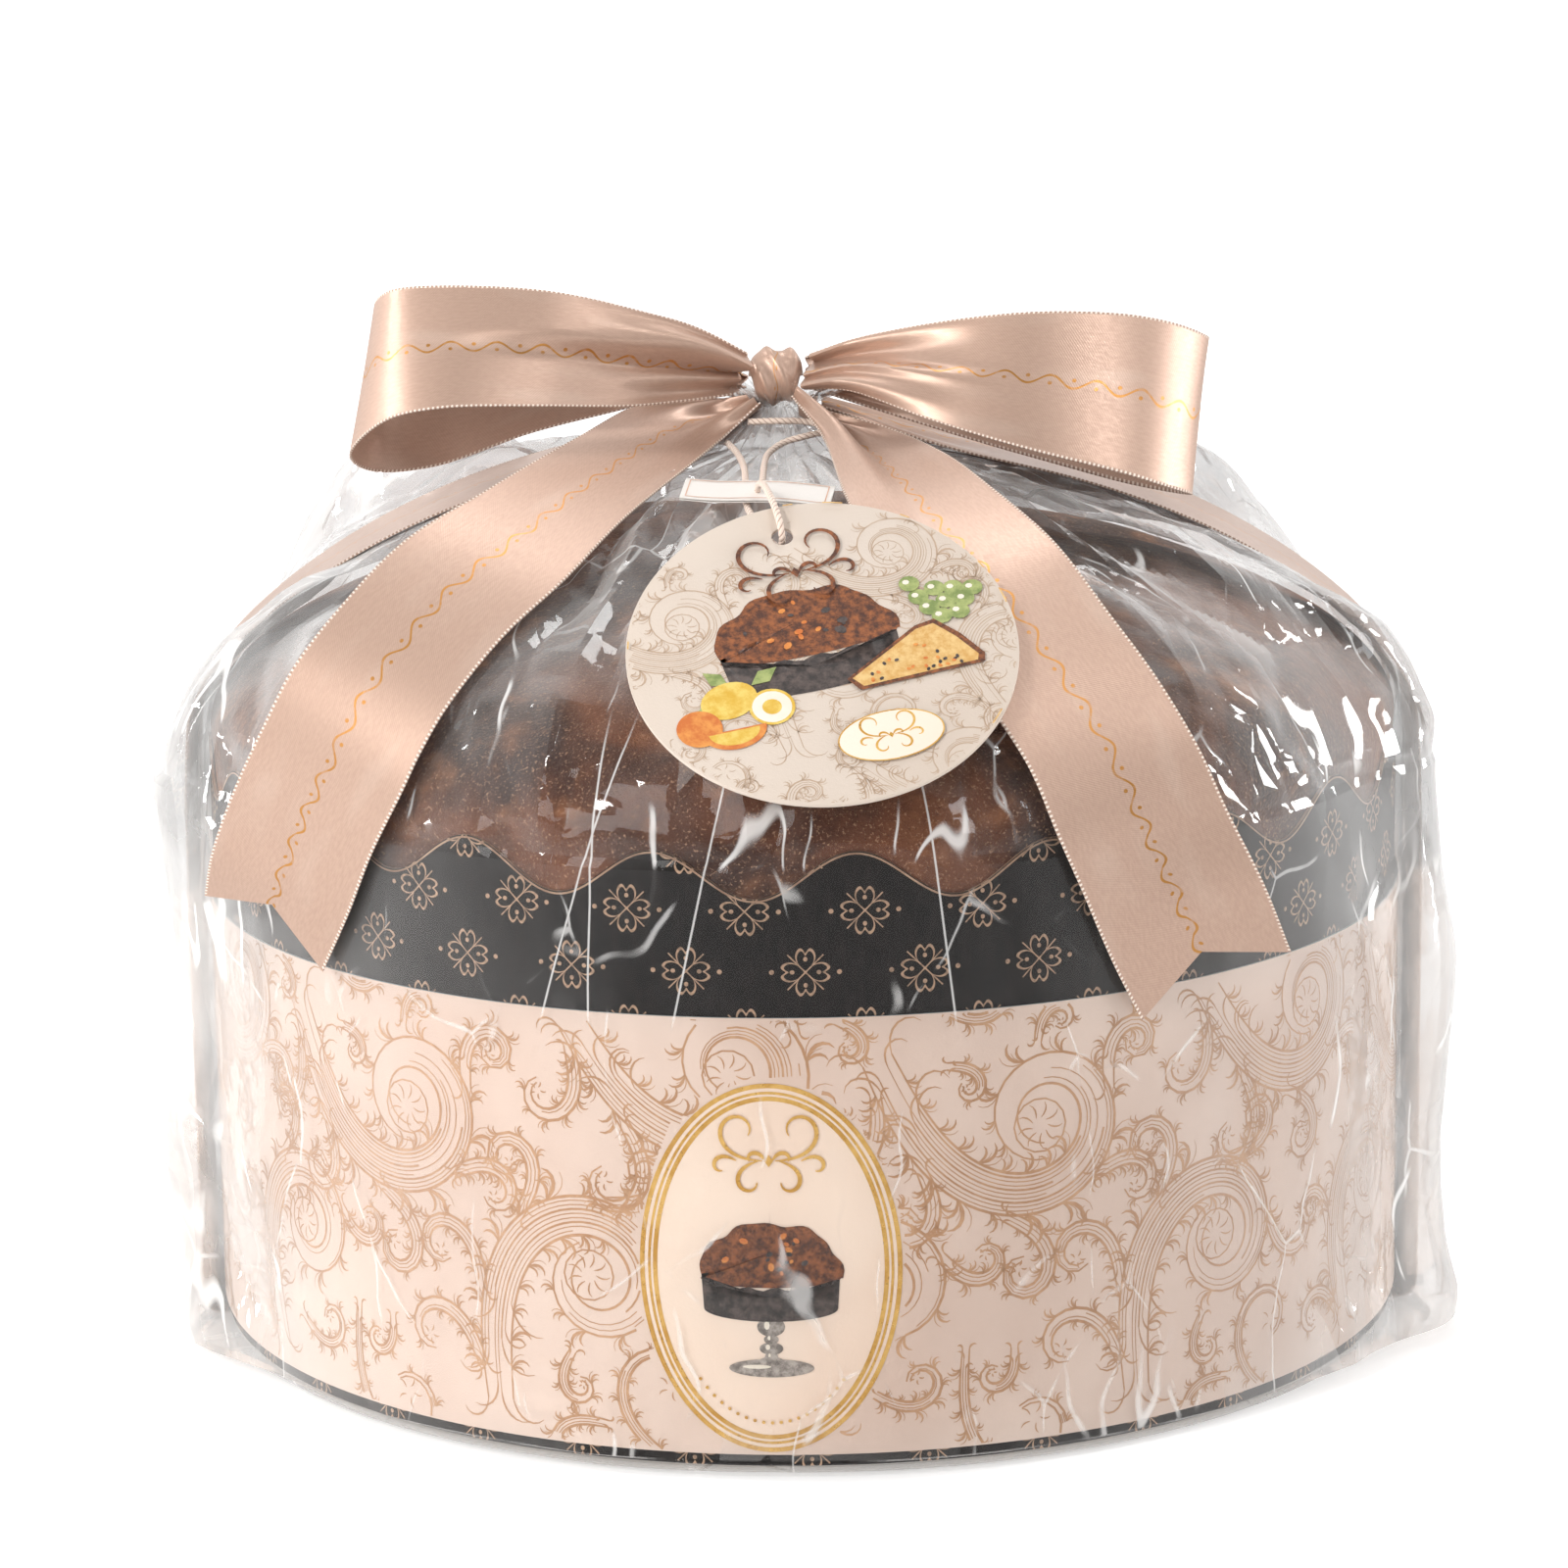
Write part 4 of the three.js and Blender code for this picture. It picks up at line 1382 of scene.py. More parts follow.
    def draw_eye(self, end: Point, radius: float, way: int, ringed: bool) -> None:
        """Draws the small flower in a stem's eye.

        Args:
            end: The stem's last place and heading.
            radius: The flower's radius.
            way: 1 where the stem turns left and -1 where it turns right.
            ringed: Whether a ring goes round it.
        """
        x = end[0] - way * radius * math.sin(end[2])
        y = end[1] + way * radius * math.cos(end[2])
        petals = 9 if ringed else 5
        for k in range(petals):
            angle = FULL_TURN * k / petals
            px, py = x + 0.3 * radius * math.cos(angle), y + 0.3 * radius * math.sin(angle)
            self.hook(px, py, angle - 0.5, radius * 0.62, 1.5, 0.2, 4)
        if ringed:
            ring = np.linspace(0, FULL_TURN, 15)
            self.strokes.append([(x + radius * math.cos(a), y + radius * math.sin(a), 0.2) for a in ring])

    def fill_gaps(self, width: float, height: float, count: int) -> None:
        """Sets small stems into the widest bare places, one after another.

        Args:
            width: The repeat's width.
            height: The repeat's height.
            count: How many stems are set.
        """
        for _ in range(count):
            marks = np.array([point[:2] for line in self.strokes for point in line[::3]])
            marks[:, 0] %= width
            across, up = np.meshgrid(np.linspace(1, width - 1, 46), np.linspace(3, height - 3, 30))
            spots = np.stack([across.ravel(), up.ravel()], axis=1)
            side = np.abs(spots[:, None, 0] - marks[None, :, 0])
            side = np.minimum(side, width - side)
            far = np.hypot(side, spots[:, None, 1] - marks[None, :, 1]).min(axis=1)
            best = int(far.argmax())
            room = float(far[best])
            heading = self.random.uniform(0, FULL_TURN)
            x = spots[best][0] - room * 0.9 * math.cos(heading)
            y = spots[best][1] - room * 0.9 * math.sin(heading)
            self.sweep(x, y, heading, max(room * 3.0, 9.0), self.random.choice((-1, 1)) * 0.9, 2.2)


@lru_cache(maxsize=1)
def damask_tile(width: float, height: float) -> ScrollDrawing:
    """The repeat of the band's print, in millimetres, wrapping round at its sides."""
    draw = ScrollDrawing(11)
    draw.sweep(width * 0.02, height * 0.90, -1.15, 124, 1.22, 9.5, 5)
    draw.sweep(width * 0.43, height * 0.08, 1.65, 118, -1.22, 9.0, 5)
    draw.sweep(width * 0.56, height * 0.98, -1.0, 114, 1.20, 9.0, 5)
    draw.sweep(width * 0.93, height * 0.06, 1.9, 104, -1.20, 8.5, 4)
    draw.fill_gaps(width, height, 10)
    return draw


@dataclass
class CardBand:
    """The printed card sleeve round the mould, lapped at the back, with an oval plate in front."""

    inner: float = 0.1403
    card: float = 0.0005
    bottom: float = 0.0051
    height: float = 0.0988
    lap: float = math.radians(10)
    gap: float = 0.0003
    segments: int = 400
    repeats: int = 6
    oval_middle: Plan = (-0.0085, 0.0425)
    oval_half: Plan = (0.0287, 0.0418)

    @property
    def start(self) -> float:
        """The turn where the strip starts, at the back."""
        return math.pi / 2 + self.lap / 2

    def radius(self, travelled: float) -> float:
        """The strip's inner radius after a turn along it."""
        climb = smoothstep(travelled, FULL_TURN - self.lap, FULL_TURN - self.lap * 0.2)
        return self.inner + climb * (self.card + self.gap)

    def lay(self, u: float, v: float, above: float = 0.00005) -> Vector:
        """A place just above the card from its flat print, u measured from the strip's start."""
        travelled = u / self.inner
        far = self.radius(travelled) + self.card + above
        return polar(far, self.start + travelled, self.bottom + v)

    def build(self, finishes: Finishes) -> Piece:
        """Makes the strip with its cut edges."""
        sweep = FULL_TURN + self.lap
        length = sweep * self.inner
        ups = 8
        levels = [self.height * i / ups for i in range(ups + 1)]
        ring = [(1, v) for v in levels] + [(0, v) for v in reversed(levels)]
        rows = []
        for outer, v in [*ring, ring[0]]:
            row = []
            for i in range(self.segments + 1):
                travelled = sweep * i / self.segments
                far = self.radius(travelled) + (self.card if outer else 0)
                row.append(polar(far, self.start + travelled, self.bottom + v))
            rows.append(row)
        piece = lay_sheet("card_band", rows, lambda r, c: (length * c / self.segments, ring[r % len(ring)][1]))
        mesh = bmesh.new()
        mesh.from_mesh(piece.data)
        bmesh.ops.remove_doubles(mesh, verts=mesh.verts, dist=1e-6)
        ends = [e for e in mesh.edges if e.is_boundary]
        bmesh.ops.holes_fill(mesh, edges=ends, sides=0)
        bmesh.ops.recalc_face_normals(mesh, faces=mesh.faces)
        for face in mesh.faces:
            face.material_index = 1 if abs(face.normal.z) > 0.5 or len(face.verts) > 4 else 0
        mesh.to_mesh(piece.data)
        mesh.free()
        smooth(piece, 40)
        piece.data.materials.append(finishes.card)
        piece.data.materials.append(finishes.card_edge)
        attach(piece, BODY)
        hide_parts("paper_band")
        return piece

    def in_oval(self, u: float, v: float, grow: float = 0.0) -> bool:
        """Whether a flat place lies in the oval plate."""
        du = (u - self.front_u) / (self.oval_half[0] + grow)
        dv = (v - self.oval_middle[1]) / (self.oval_half[1] + grow)
        return du * du + dv * dv < 1

    @property
    def front_u(self) -> float:
        """The oval's middle along the strip."""
        turn = -math.pi / 2 + math.asin(self.oval_middle[0] / self.inner) + FULL_TURN
        return (turn - self.start) * self.inner

    def build_print(self, finishes: Finishes) -> Piece:
        """Prints the scrolls all round, clear of the oval and the edges."""
        around = FULL_TURN * self.inner
        tile = around / self.repeats
        drawing = damask_tile(TILE_WIDTH, TILE_HEIGHT)
        lap_end = (FULL_TURN + self.lap) * self.inner

        def keep(u: float, v: float) -> bool:
            """Whether the card shows here."""
            inside = 0.0004 < v < self.height - 0.0004 and 0.0004 < u < lap_end - 0.0004
            return inside and not self.in_oval(u, v, 0.0004)

        strip = PrintStrip("band_scroll_print", self.lay, keep)
        for k in range(-1, self.repeats + 2):
            for line in drawing.strokes:
                strip.stroke([(k * tile + x / TILE_WIDTH * tile, y * MM, w * MM) for x, y, w in line])
        piece = strip.build([finishes.bronze])
        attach(piece, BODY)
        return piece

    def ellipse(self, grow: float, count: int = 96) -> list[Plan]:
        """Points of an oval round the plate's middle."""
        a, b = self.oval_half[0] + grow, self.oval_half[1] + grow
        middle = self.front_u
        return [
            (middle + a * math.cos(t), self.oval_middle[1] + b * math.sin(t))
            for t in np.linspace(0, FULL_TURN, count, endpoint=False)
        ]

    def build_oval(self, finishes: Finishes) -> Piece:
        """Prints the oval plate: gold rings, a flourish, a loaf on a stand and an arc of dots."""
        plate = PrintStrip("band_oval_plate", lambda u, v: self.lay(u, v, plate.above))
        plate.above = 0.00007
        rings = [self.ellipse(-0.0286 * (1 - k / 8)) for k in range(9)]
        for inner, outer in zip(rings, rings[1:]):
            start = len(plate.points)
            plate.points += [plate.lay(u, v) for u, v in [*inner, *outer]]
            count = len(inner)
            for i in range(count):
                j = (i + 1) % count
                plate.faces.append((start + i, start + j, start + count + j, start + count + i))
                plate.inks.append(0)
        plate.above = 0.00013
        for grow, half in ((-0.0005, 0.00052), (-0.0021, 0.0003), (-0.0034, 0.0005)):
            ring = self.ellipse(grow)
            plate.stroke([(u, v, half) for u, v in [*ring, ring[0]]], 1)
        picture = Picture(plate, self.front_u, self.oval_middle[1], MM, 4)
        picture.stand(0.0, -8.8, 16.0)
        picture.loaf(0.0, -2.2, 15.0)
        picture.flourish(0.0, 24.5, 14.0, Picture.Ink.GOLD)
        for k in range(-9, 10):
            angle = -math.pi / 2 + k * 0.085
            picture.disc(22.5 * math.cos(angle), 35.0 * math.sin(angle), 0.42, 0.42, Picture.Ink.GOLD, 0.0, 7)
        piece = plate.build(finishes.picture_inks())
        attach(piece, BODY)
        return piece


class Picture:
    """Plain printed pictures of baked goods and fruit, as flat shapes."""

    class Ink(Enum):
        """The printed colours, in the order that a picture's materials are given."""

        PLATE = 0
        GOLD = 1
        CRUST = 2
        MOULD = 3
        GLASS = 4
        ORANGE = 5
        LEMON = 6
        LEAF = 7
        CRUMB = 8
        PALE = 9

    def __init__(self, strip: PrintStrip, u: float, v: float, scale: float, seed: int) -> None:
        """Sets the picture's middle and scale on a print.

        Args:
            strip: The print it goes on.
            u: Its middle across, in metres.
            v: Its middle up.
            scale: Metres for one unit.
            seed: Fixes its loose details.
        """
        self.strip = strip
        self.u = u
        self.v = v
        self.scale = scale
        self.random = random.Random(seed)

    def shape(self, points: Sequence[Plan], ink: Picture.Ink) -> None:
        """Fills an outline."""
        self.strip.rise()
        self.strip.patch([(self.u + x * self.scale, self.v + y * self.scale) for x, y in points], ink.value)

    def line(self, points: Sequence[Plan], half: float, ink: Picture.Ink, taper: bool = True) -> None:
        """Draws a stroke that thins at its ends."""
        last = len(points) - 1
        made = []
        for i, (x, y) in enumerate(points):
            swell = math.sin(math.pi * (0.08 + 0.84 * i / last)) if taper else 1.0
            made.append((self.u + x * self.scale, self.v + y * self.scale, half * self.scale * swell))
        self.strip.stroke(made, ink.value)

    def disc(
        self, x: float, y: float, a: float, b: float, ink: Picture.Ink, turn: float = 0.0, count: int = 28
    ) -> None:
        """Fills an oval.

        Args:
            x: Its middle across.
            y: Its middle up.
            a: Half its width.
            b: Half its height.
            ink: Its colour.
            turn: How far it is turned, in radians.
            count: Points round it.
        """
        cos, sin = math.cos(turn), math.sin(turn)
        points = [(x + px * cos - py * sin, y + px * sin + py * cos) for px, py in self.arc(0, 0, a, b, count)]
        self.shape(points, ink)

    @staticmethod
    def arc(x: float, y: float, a: float, b: float, count: int, half: bool = False) -> list[Plan]:
        """Points round an oval, or along its lower half.

        Args:
            x: Its middle across.
            y: Its middle up.
            a: Half its width.
            b: Half its height.
            count: How many points.
            half: Whether only its lower half is drawn, both ends included.

        Returns:
            The points.
        """
        turns = np.linspace(math.pi if half else 0, FULL_TURN, count, endpoint=half)
        return [(x + a * math.cos(t), y + b * math.sin(t)) for t in turns]

    def loaf(self, x: float, y: float, half: float) -> None:
        """Draws a domed loaf in a dark mould."""
        Ink = Picture.Ink
        tall = half * 0.84
        dome = []
        for i in range(41):
            t = math.pi * i / 40
            lump = 1 + 0.035 * math.sin(7 * t + 1) + 0.02 * math.sin(13 * t)
            dome.append((x + half * 1.02 * math.cos(t) * lump, y + tall * math.sin(t) ** 0.8 * lump))
        self.shape([*dome, *self.arc(x, y, half * 1.02, half * 0.14, 15, half=True)], Ink.CRUST)
        wall = []
        for i in range(31):
            t = math.pi + math.pi * i / 30
            wave = 0.03 * half * math.cos(i * 1.6)
            wall.append((x + half * math.cos(t), y + half * 0.16 * math.sin(t) + wave))
        for i in range(21):
            t = FULL_TURN - math.pi * i / 20
            wall.append((x + half * 0.97 * math.cos(t), y - half * 0.46 + half * 0.19 * math.sin(t)))
        self.shape(wall, Ink.MOULD)
        for _ in range(16):
            t = self.random.uniform(0.3, 2.85)
            reach = self.random.uniform(0.15, 0.85)
            px, py = x + half * reach * math.cos(t), y + tall * reach * math.sin(t)
            size = half * self.random.uniform(0.03, 0.07)
            ink = Ink.MOULD if self.random.random() < 0.55 else Ink.ORANGE
            self.disc(px, py, size, size * 0.7, ink, self.random.uniform(0, 3), 7)

    def stand(self, x: float, y: float, half: float) -> None:
        """Draws a turned glass cake stand under a loaf."""
        Ink = Picture.Ink
        parts = (
            (0.0, 0.30, 0.07), (0.10, 0.13, 0.08), (0.27, 0.19, 0.14), (0.45, 0.10, 0.07), (0.58, 0.16, 0.09),
            (0.70, 0.09, 0.07),
        )
        for down, wide, tall in parts:
            self.disc(x, y - half * down, half * wide, half * tall, Ink.GLASS)
            shine_x, shine_y = x - half * wide * 0.3, y - half * (down - 0.02)
            self.disc(shine_x, shine_y, half * wide * 0.2, half * tall * 0.45, Ink.PALE, 0.0, 9)
        self.shape(self.arc(x, y - half * 0.86, half * 0.58, half * 0.13, 30), Ink.GLASS)
        top, foot = y - half * 0.7, y - half * 0.84
        skirt = [(x - half * 0.08, top), (x + half * 0.08, top), (x + half * 0.4, foot), (x - half * 0.4, foot)]
        self.shape(skirt, Ink.GLASS)
        self.disc(x - half * 0.2, y - half * 0.84, half * 0.2, half * 0.03, Ink.PALE, 0.0, 9)

    def flourish(self, x: float, y: float, half: float, ink: Picture.Ink) -> None:
        """Draws two mirrored sprays of curls that meet at a small lozenge."""
        self.strip.rise()
        for side in (-1, 1):
            for start, heading, bend, length in (
                (0.10, 0.10, 5.4, 1.70), (0.16, -0.35, -4.6, 0.95), (0.50, 0.5, -4.2, 0.62), (0.05, 1.0, -3.4, 0.42)
            ):
                px, py = start, 0.0
                curl = []
                for i in range(27):
                    curl.append((x + side * half * px, y + half * py))
                    turn = heading + bend * (i / 26) ** 1.8
                    px += length / 26 * math.cos(turn)
                    py += length / 26 * math.sin(turn)
                self.line(curl, half * 0.034, ink)
        size = half * 0.07
        self.shape([(x - size, y), (x, y - size * 1.4), (x + size, y), (x, y + size * 1.4)], ink)

    def fruit(self) -> None:
        """Draws a slice, citrus fruit, grapes and leaves round a loaf."""
        Ink = Picture.Ink
        for turn, length in ((0.5, 7.5), (2.3, 7.0), (3.4, 7.5)):
            x, y = -20 + 3 * math.cos(turn), -7 + 3 * math.sin(turn)
            tip = (x + length * math.cos(turn), y + length * math.sin(turn))
            side = (math.cos(turn + math.pi / 2) * 1.9, math.sin(turn + math.pi / 2) * 1.9)
            mid = ((x + tip[0]) / 2, (y + tip[1]) / 2)
            left, right = (mid[0] + side[0], mid[1] + side[1]), (mid[0] - side[0], mid[1] - side[1])
            self.shape([(x, y), left, tip, right], Ink.LEAF)
        self.disc(-23.0, -8.5, 6.4, 4.9, Ink.LEMON, 0.25)
        self.disc(-31.0, -14.5, 5.0, 5.0, Ink.ORANGE)
        self.disc(-14.5, -12.5, 5.0, 5.0, Ink.LEMON)
        self.disc(-14.5, -12.5, 4.3, 4.3, Ink.PALE)
        self.disc(-14.5, -12.5, 2.1, 2.1, Ink.LEMON)
        self.shape(self.arc(-24, -16.5, 7.2, 5.4, 18, half=True), Ink.ORANGE)
        self.shape(self.arc(-24, -16.9, 5.6, 3.8, 14, half=True), Ink.LEMON)
        grapes = (
            (24, 9), (28, 10.5), (32, 9.5), (25.5, 5.5), (29.5, 6.5), (33.5, 6), (27.5, 2.5), (31.5, 2.8), (36, 8.5),
            (23, 13),
        )
        for x, y in grapes:
            self.disc(x, y, 2.3, 2.2, Ink.LEAF, 0.0, 14)
            self.disc(x - 0.6, y + 0.6, 0.8, 0.7, Ink.PALE, 0.0, 7)
        crust = [(3, -9.5), (21, 1.2), (25.5, 2.0), (30, -3.5), (33.6, -10), (33, -12.4), (5, -13.2)]
        self.shape(crust, Ink.CRUST)
        crumb = [(4.2, -9.6), (21, 0.2), (25, 0.8), (28.8, -4), (32.2, -10), (31.6, -11.6), (6, -12.3)]
        self.shape(crumb, Ink.CRUMB)
        for _ in range(26):
            x = self.random.uniform(8, 30)
            y = self.random.uniform(-11.5, -11.5 + min(x - 4, 34 - x) * 0.55)
            ink = Ink.ORANGE if self.random.random() < 0.5 else Ink.MOULD
            self.disc(x, y, 0.55, 0.4, ink, self.random.uniform(0, 3), 7)


# ---------------------------------------------------------------- film


class Crumple:
    """Random heights on a triangle lattice, joined by flat facets, that close up round the loaf."""

    BANDS = 256

    def __init__(self, seed: int, around: int, cell: float) -> None:
        """Draws the heights.

        Args:
            seed: Fixes the heights.
            around: Cells round the loaf.
            cell: A cell's height, in metres.
        """
        self.around = around
        self.cell = cell
        self.table = np.random.default_rng(seed).uniform(-1, 1, (around, self.BANDS))

    def heights(self, turn: np.ndarray, up: np.ndarray) -> np.ndarray:
        """The facets' heights, from -1 to 1.

        Args:
            turn: Turns round the loaf, in radians.
            up: Distances up the sheet, in metres.

        Returns:
            One height for each place.
        """
        a = turn / FULL_TURN * self.around
        b = up / self.cell
        i, j = np.floor(a).astype(int), np.floor(b).astype(int)
        fa, fb = a - i, b - j
        upper = fa + fb > 1
        i0, j0 = np.where(upper, i + 1, i), np.where(upper, j + 1, j)
        ga, gb = np.where(upper, 1 - fa, fa), np.where(upper, 1 - fb, fb)
        step = np.where(upper, -1, 1)
        h0 = self.table[i0 % self.around, j0 % self.BANDS]
        ha = self.table[(i0 + step) % self.around, j0 % self.BANDS]
        hb = self.table[i0 % self.around, (j0 + step) % self.BANDS]
        return h0 * (1 - ga - gb) + ha * ga + hb * gb


@dataclass
class FilmWrap:
    """The clear film: folded under the base, up the sides, over the loaf and gathered at the neck."""

    radius: float = 0.1422
    dome_base: float = 0.138
    dome_height: float = 0.0695
    neck: Vector = field(default_factory=lambda: Vector((-0.004, -0.007, 0.2135)))
    neck_radius: float = 0.008
    columns: int = 440
    crease_angle: float = 7.0
    strap_reach: float = 0.1441
    flat: Plan = (0.92, 0.36)
    pressed: tuple[Point, ...] = (
        (0.0046, -0.118, 0.050), (-0.0093, -0.060, 0.022), (-0.006, -0.035, 0.022), (-0.006, -0.015, 0.018)
    )

    def side(self, turn: float) -> float:
        """How far the upright side stands from the axis."""
        degrees = math.degrees(turn) % 360
        sides = bump_at(degrees, 343, 7) + bump_at(degrees, 197, 7)
        return self.radius + 0.0097 * sides + 0.010 * bump_at(degrees, 90, 30)

    def top(self, turn: float, angle: float) -> Vector:
        """A place on the smooth gathered top.

        Args:
            turn: The direction from the axis.
            angle: How far over the dome, from 0 at its foot.

        Returns:
            The place.
        """
        radius = self.side(turn) * math.cos(angle)
        part = radius / self.radius
        shift = (1 - min(part, 1)) ** 2
        x = radius * math.cos(turn) + self.neck.x * shift
        y = radius * math.sin(turn) + self.neck.y * shift
        degrees = math.degrees(turn) % 360
        wings = 0.012 * bump_at(degrees, 24, 5) + 0.020 * bump_at(degrees, 156, 5)
        along = min(max((radius - 0.066) / 0.079, 0), 1)
        lift = wings * math.sin(math.pi * along)
        under_strap = math.exp(-((y / 0.030) ** 4))
        dent = 0.007 * under_strap * part**1.5 * (1 - min(part, 1) ** 12)
        return Vector((x, y, self.dome_base + self.dome_height * math.sin(angle) + lift - dent))

    def profile(self) -> list[tuple[str, float]]:
        """The rows from under the base to the tuft."""
        rows = [("under", r) for r in (0.114, 0.120, 0.126, 0.132, 0.138)]
        rows += [("foot", k / 5) for k in range(6)]
        rows += [("wall", z) for z in np.linspace(0.004, 0.1365, 66)]
        rows += [("top", a) for a in np.radians(np.linspace(0.5, 83.0, 96))]
        rows += [("neck", k / 14) for k in range(15)]
        return rows

    def base_place(self, kind: str, value: float, turn: float) -> Vector:
        """A place of the smooth sheet.

        Args:
            kind: Which stretch it is on.
            value: Where on that stretch.
            turn: The direction from the axis.

        Returns:
            The place.
        """
        out = Vector((math.cos(turn), math.sin(turn), 0))
        if kind == "under":
            return out * value + Vector((0, 0, 0.0016 if value < 0.134 else 0.0010))
        if kind == "foot":
            angle = math.pi / 2 * value
            far = self.side(turn) - 0.003 + 0.003 * math.sin(angle)
            return out * far + Vector((0, 0, 0.0034 - 0.003 * math.cos(angle)))
        if kind == "wall":
            return out * self.side(turn) + Vector((0, 0, value))
        if kind == "top":
            return self.top(turn, value)
        start = self.top(turn, math.radians(83.0))
        ring = self.neck + out * self.neck_radius
        if value < 0.4:
            return start.lerp(ring, value / 0.4)
        share = (value - 0.4) / 0.6
        middle = self.neck + Vector((0, 0.011 * share**1.5, 0.0065 * share))
        pinch = self.neck_radius * (1 - 0.45 * math.sin(math.pi * min(share * 1.5, 1))) + 0.010 * share**2
        return middle + out * pinch

    def hold(self, place: Vector) -> float:
        """How freely the film may puff out, 0 where something lies on it."""
        free = 1.0
        for x, y, reach in self.pressed:
            free *= smoothstep(math.hypot(place.x - x, place.y - y), reach * 0.8, reach * 1.15)
        if place.z > 0.15 or abs(place.x) > 0.12:
            free *= smoothstep(abs(place.y), 0.020, 0.027) if place.y < 0.03 else 1.0
        return free

    def build(self, finishes: Finishes) -> Piece:
        """Makes the crumpled sheet and the folded layers under its base."""
        rows = self.profile()
        turns = np.linspace(0, FULL_TURN, self.columns, endpoint=False)
        grid = np.array([[self.base_place(kind, value, t) for t in turns] for kind, value in rows])
        down = np.gradient(grid, axis=0)
        round_ = np.roll(grid, -1, axis=1) - np.roll(grid, 1, axis=1)
        normal = np.cross(round_, down)
        normal /= np.maximum(np.linalg.norm(normal, axis=2, keepdims=True), 1e-9)
        steps = np.linalg.norm(np.diff(grid, axis=0), axis=2).mean(axis=1)
        up = np.concatenate([[0], np.cumsum(steps)])
        turn_grid, up_grid = np.meshgrid(turns, up)
        drift_a = np.zeros_like(turn_grid)
        drift_b = np.zeros_like(turn_grid)
        free = np.zeros_like(turn_grid)
        for r in range(len(rows)):
            for c, t in enumerate(turns):
                spot = Vector((math.cos(t) * 3.2, math.sin(t) * 3.2, up[r] * 22))
                drift_a[r, c] = noise.noise(spot)
                drift_b[r, c] = noise.noise(spot + Vector((7, 3, 5)))
                free[r, c] = self.hold(Vector(grid[r, c]))
        wide = Crumple(3, 22, 0.040).heights(turn_grid + 0.030 * drift_a, up_grid + 0.006 * drift_b)
        middle = Crumple(5, 44, 0.020).heights(turn_grid + 0.020 * drift_b, up_grid + 0.004 * drift_a)
        small = Crumple(8, 110, 0.008).heights(turn_grid + 0.008 * drift_a, up_grid + 0.002 * drift_b)
        offsets = np.zeros_like(turn_grid)
        loose = np.zeros_like(turn_grid)
        for r, (kind, value) in enumerate(rows):
            for c, t in enumerate(turns):
                away = self.front_share(t)
                place = grid[r, c]
                far = math.hypot(place[0] - self.neck.x, place[1] - self.neck.y)
                if kind in ("under", "foot"):
                    amount, pleat = 0.25, 0.0
                elif kind == "wall":
                    foot = bump_at(value, 0.0, 0.018)
                    amount, pleat = 0.30 + 0.70 * away + 0.35 * foot, 0.0
                elif kind == "top":
                    amount = 0.75 + 0.25 * away
                    near = smoothstep(far, 0.135, 0.050) if far > 0.050 else smoothstep(far, 0.006, 0.036)
                    pleat = 0.0036 * near
                    amount *= smoothstep(far, 0.012, 0.05)
                else:
                    amount, pleat = 0.1, 0.0010
                wave = 31 * t / FULL_TURN + 0.7 * drift_a[r, c] + 0.35 * math.sin(3 * t)
                fold = abs(2 * (wave - math.floor(wave)) - 1) * 2 - 1
                crumpled = 0.0034 * wide[r, c] + (0.0024 if kind == "top" else 0.0011) * middle[r, c]
                crumpled += (0.0007 if kind == "top" else 0.0002) * small[r, c]
                offset = amount * crumpled + pleat * fold
                loose[r, c] = min(1.0, amount)
                offsets[r, c] = self.limit(offset, free[r, c], kind, far, away, value)
        moved = grid + normal * offsets[..., None]
        self.fit_strap(moved, rows)
        points = [[Vector(p) for p in row] for row in moved]
        span = FULL_TURN * self.radius / self.columns
        piece = lay_sheet("film_sheet", points, lambda r, c: (c * span, float(up[r])), closed=True)
        self.mark_loose(piece, loose)
        self.face_out(piece)
        smooth(piece, self.crease_angle)
        piece.data.materials.append(finishes.film)
        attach(piece, BODY)
        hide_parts("film_wrap")
        base = self.build_base(finishes)
        return piece

    def build_base(self, finishes: Finishes) -> Piece:
        """Makes the film's folded layers under the base, flat and creased."""
        turns = np.linspace(0, FULL_TURN, 120, endpoint=False)
        rings = [0.0005, *np.linspace(0.006, 0.116, 34)]
        rows = []
        for ring in reversed(rings):
            row = []
            for t in turns:
                at = Vector((ring * math.cos(t), ring * math.sin(t), 0))
                height = 0.0016 + 0.0003 * noise.noise(at * 60) - 0.0002 * abs(noise.noise(at * 150))
                row.append(Vector((at.x, at.y, height)))
            rows.append(row)
        piece = lay_sheet("film_base_folds", rows, lambda r, c: (c * 0.0074, r * 0.0033), closed=True)
        if piece.data.polygons[0].normal.z > 0:
            piece.data.flip_normals()
        piece.data.materials.append(finishes.film)
        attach(piece, BODY)
        return piece

    def front_share(self, turn: float) -> float:
        """How loose the film hangs: 0 at the tight front, 1 at the sides and back."""
        degrees = math.degrees(turn) % 360
        away = min(abs(degrees - 270), 360 - abs(degrees - 270))
        return smoothstep(away, 42, 68)

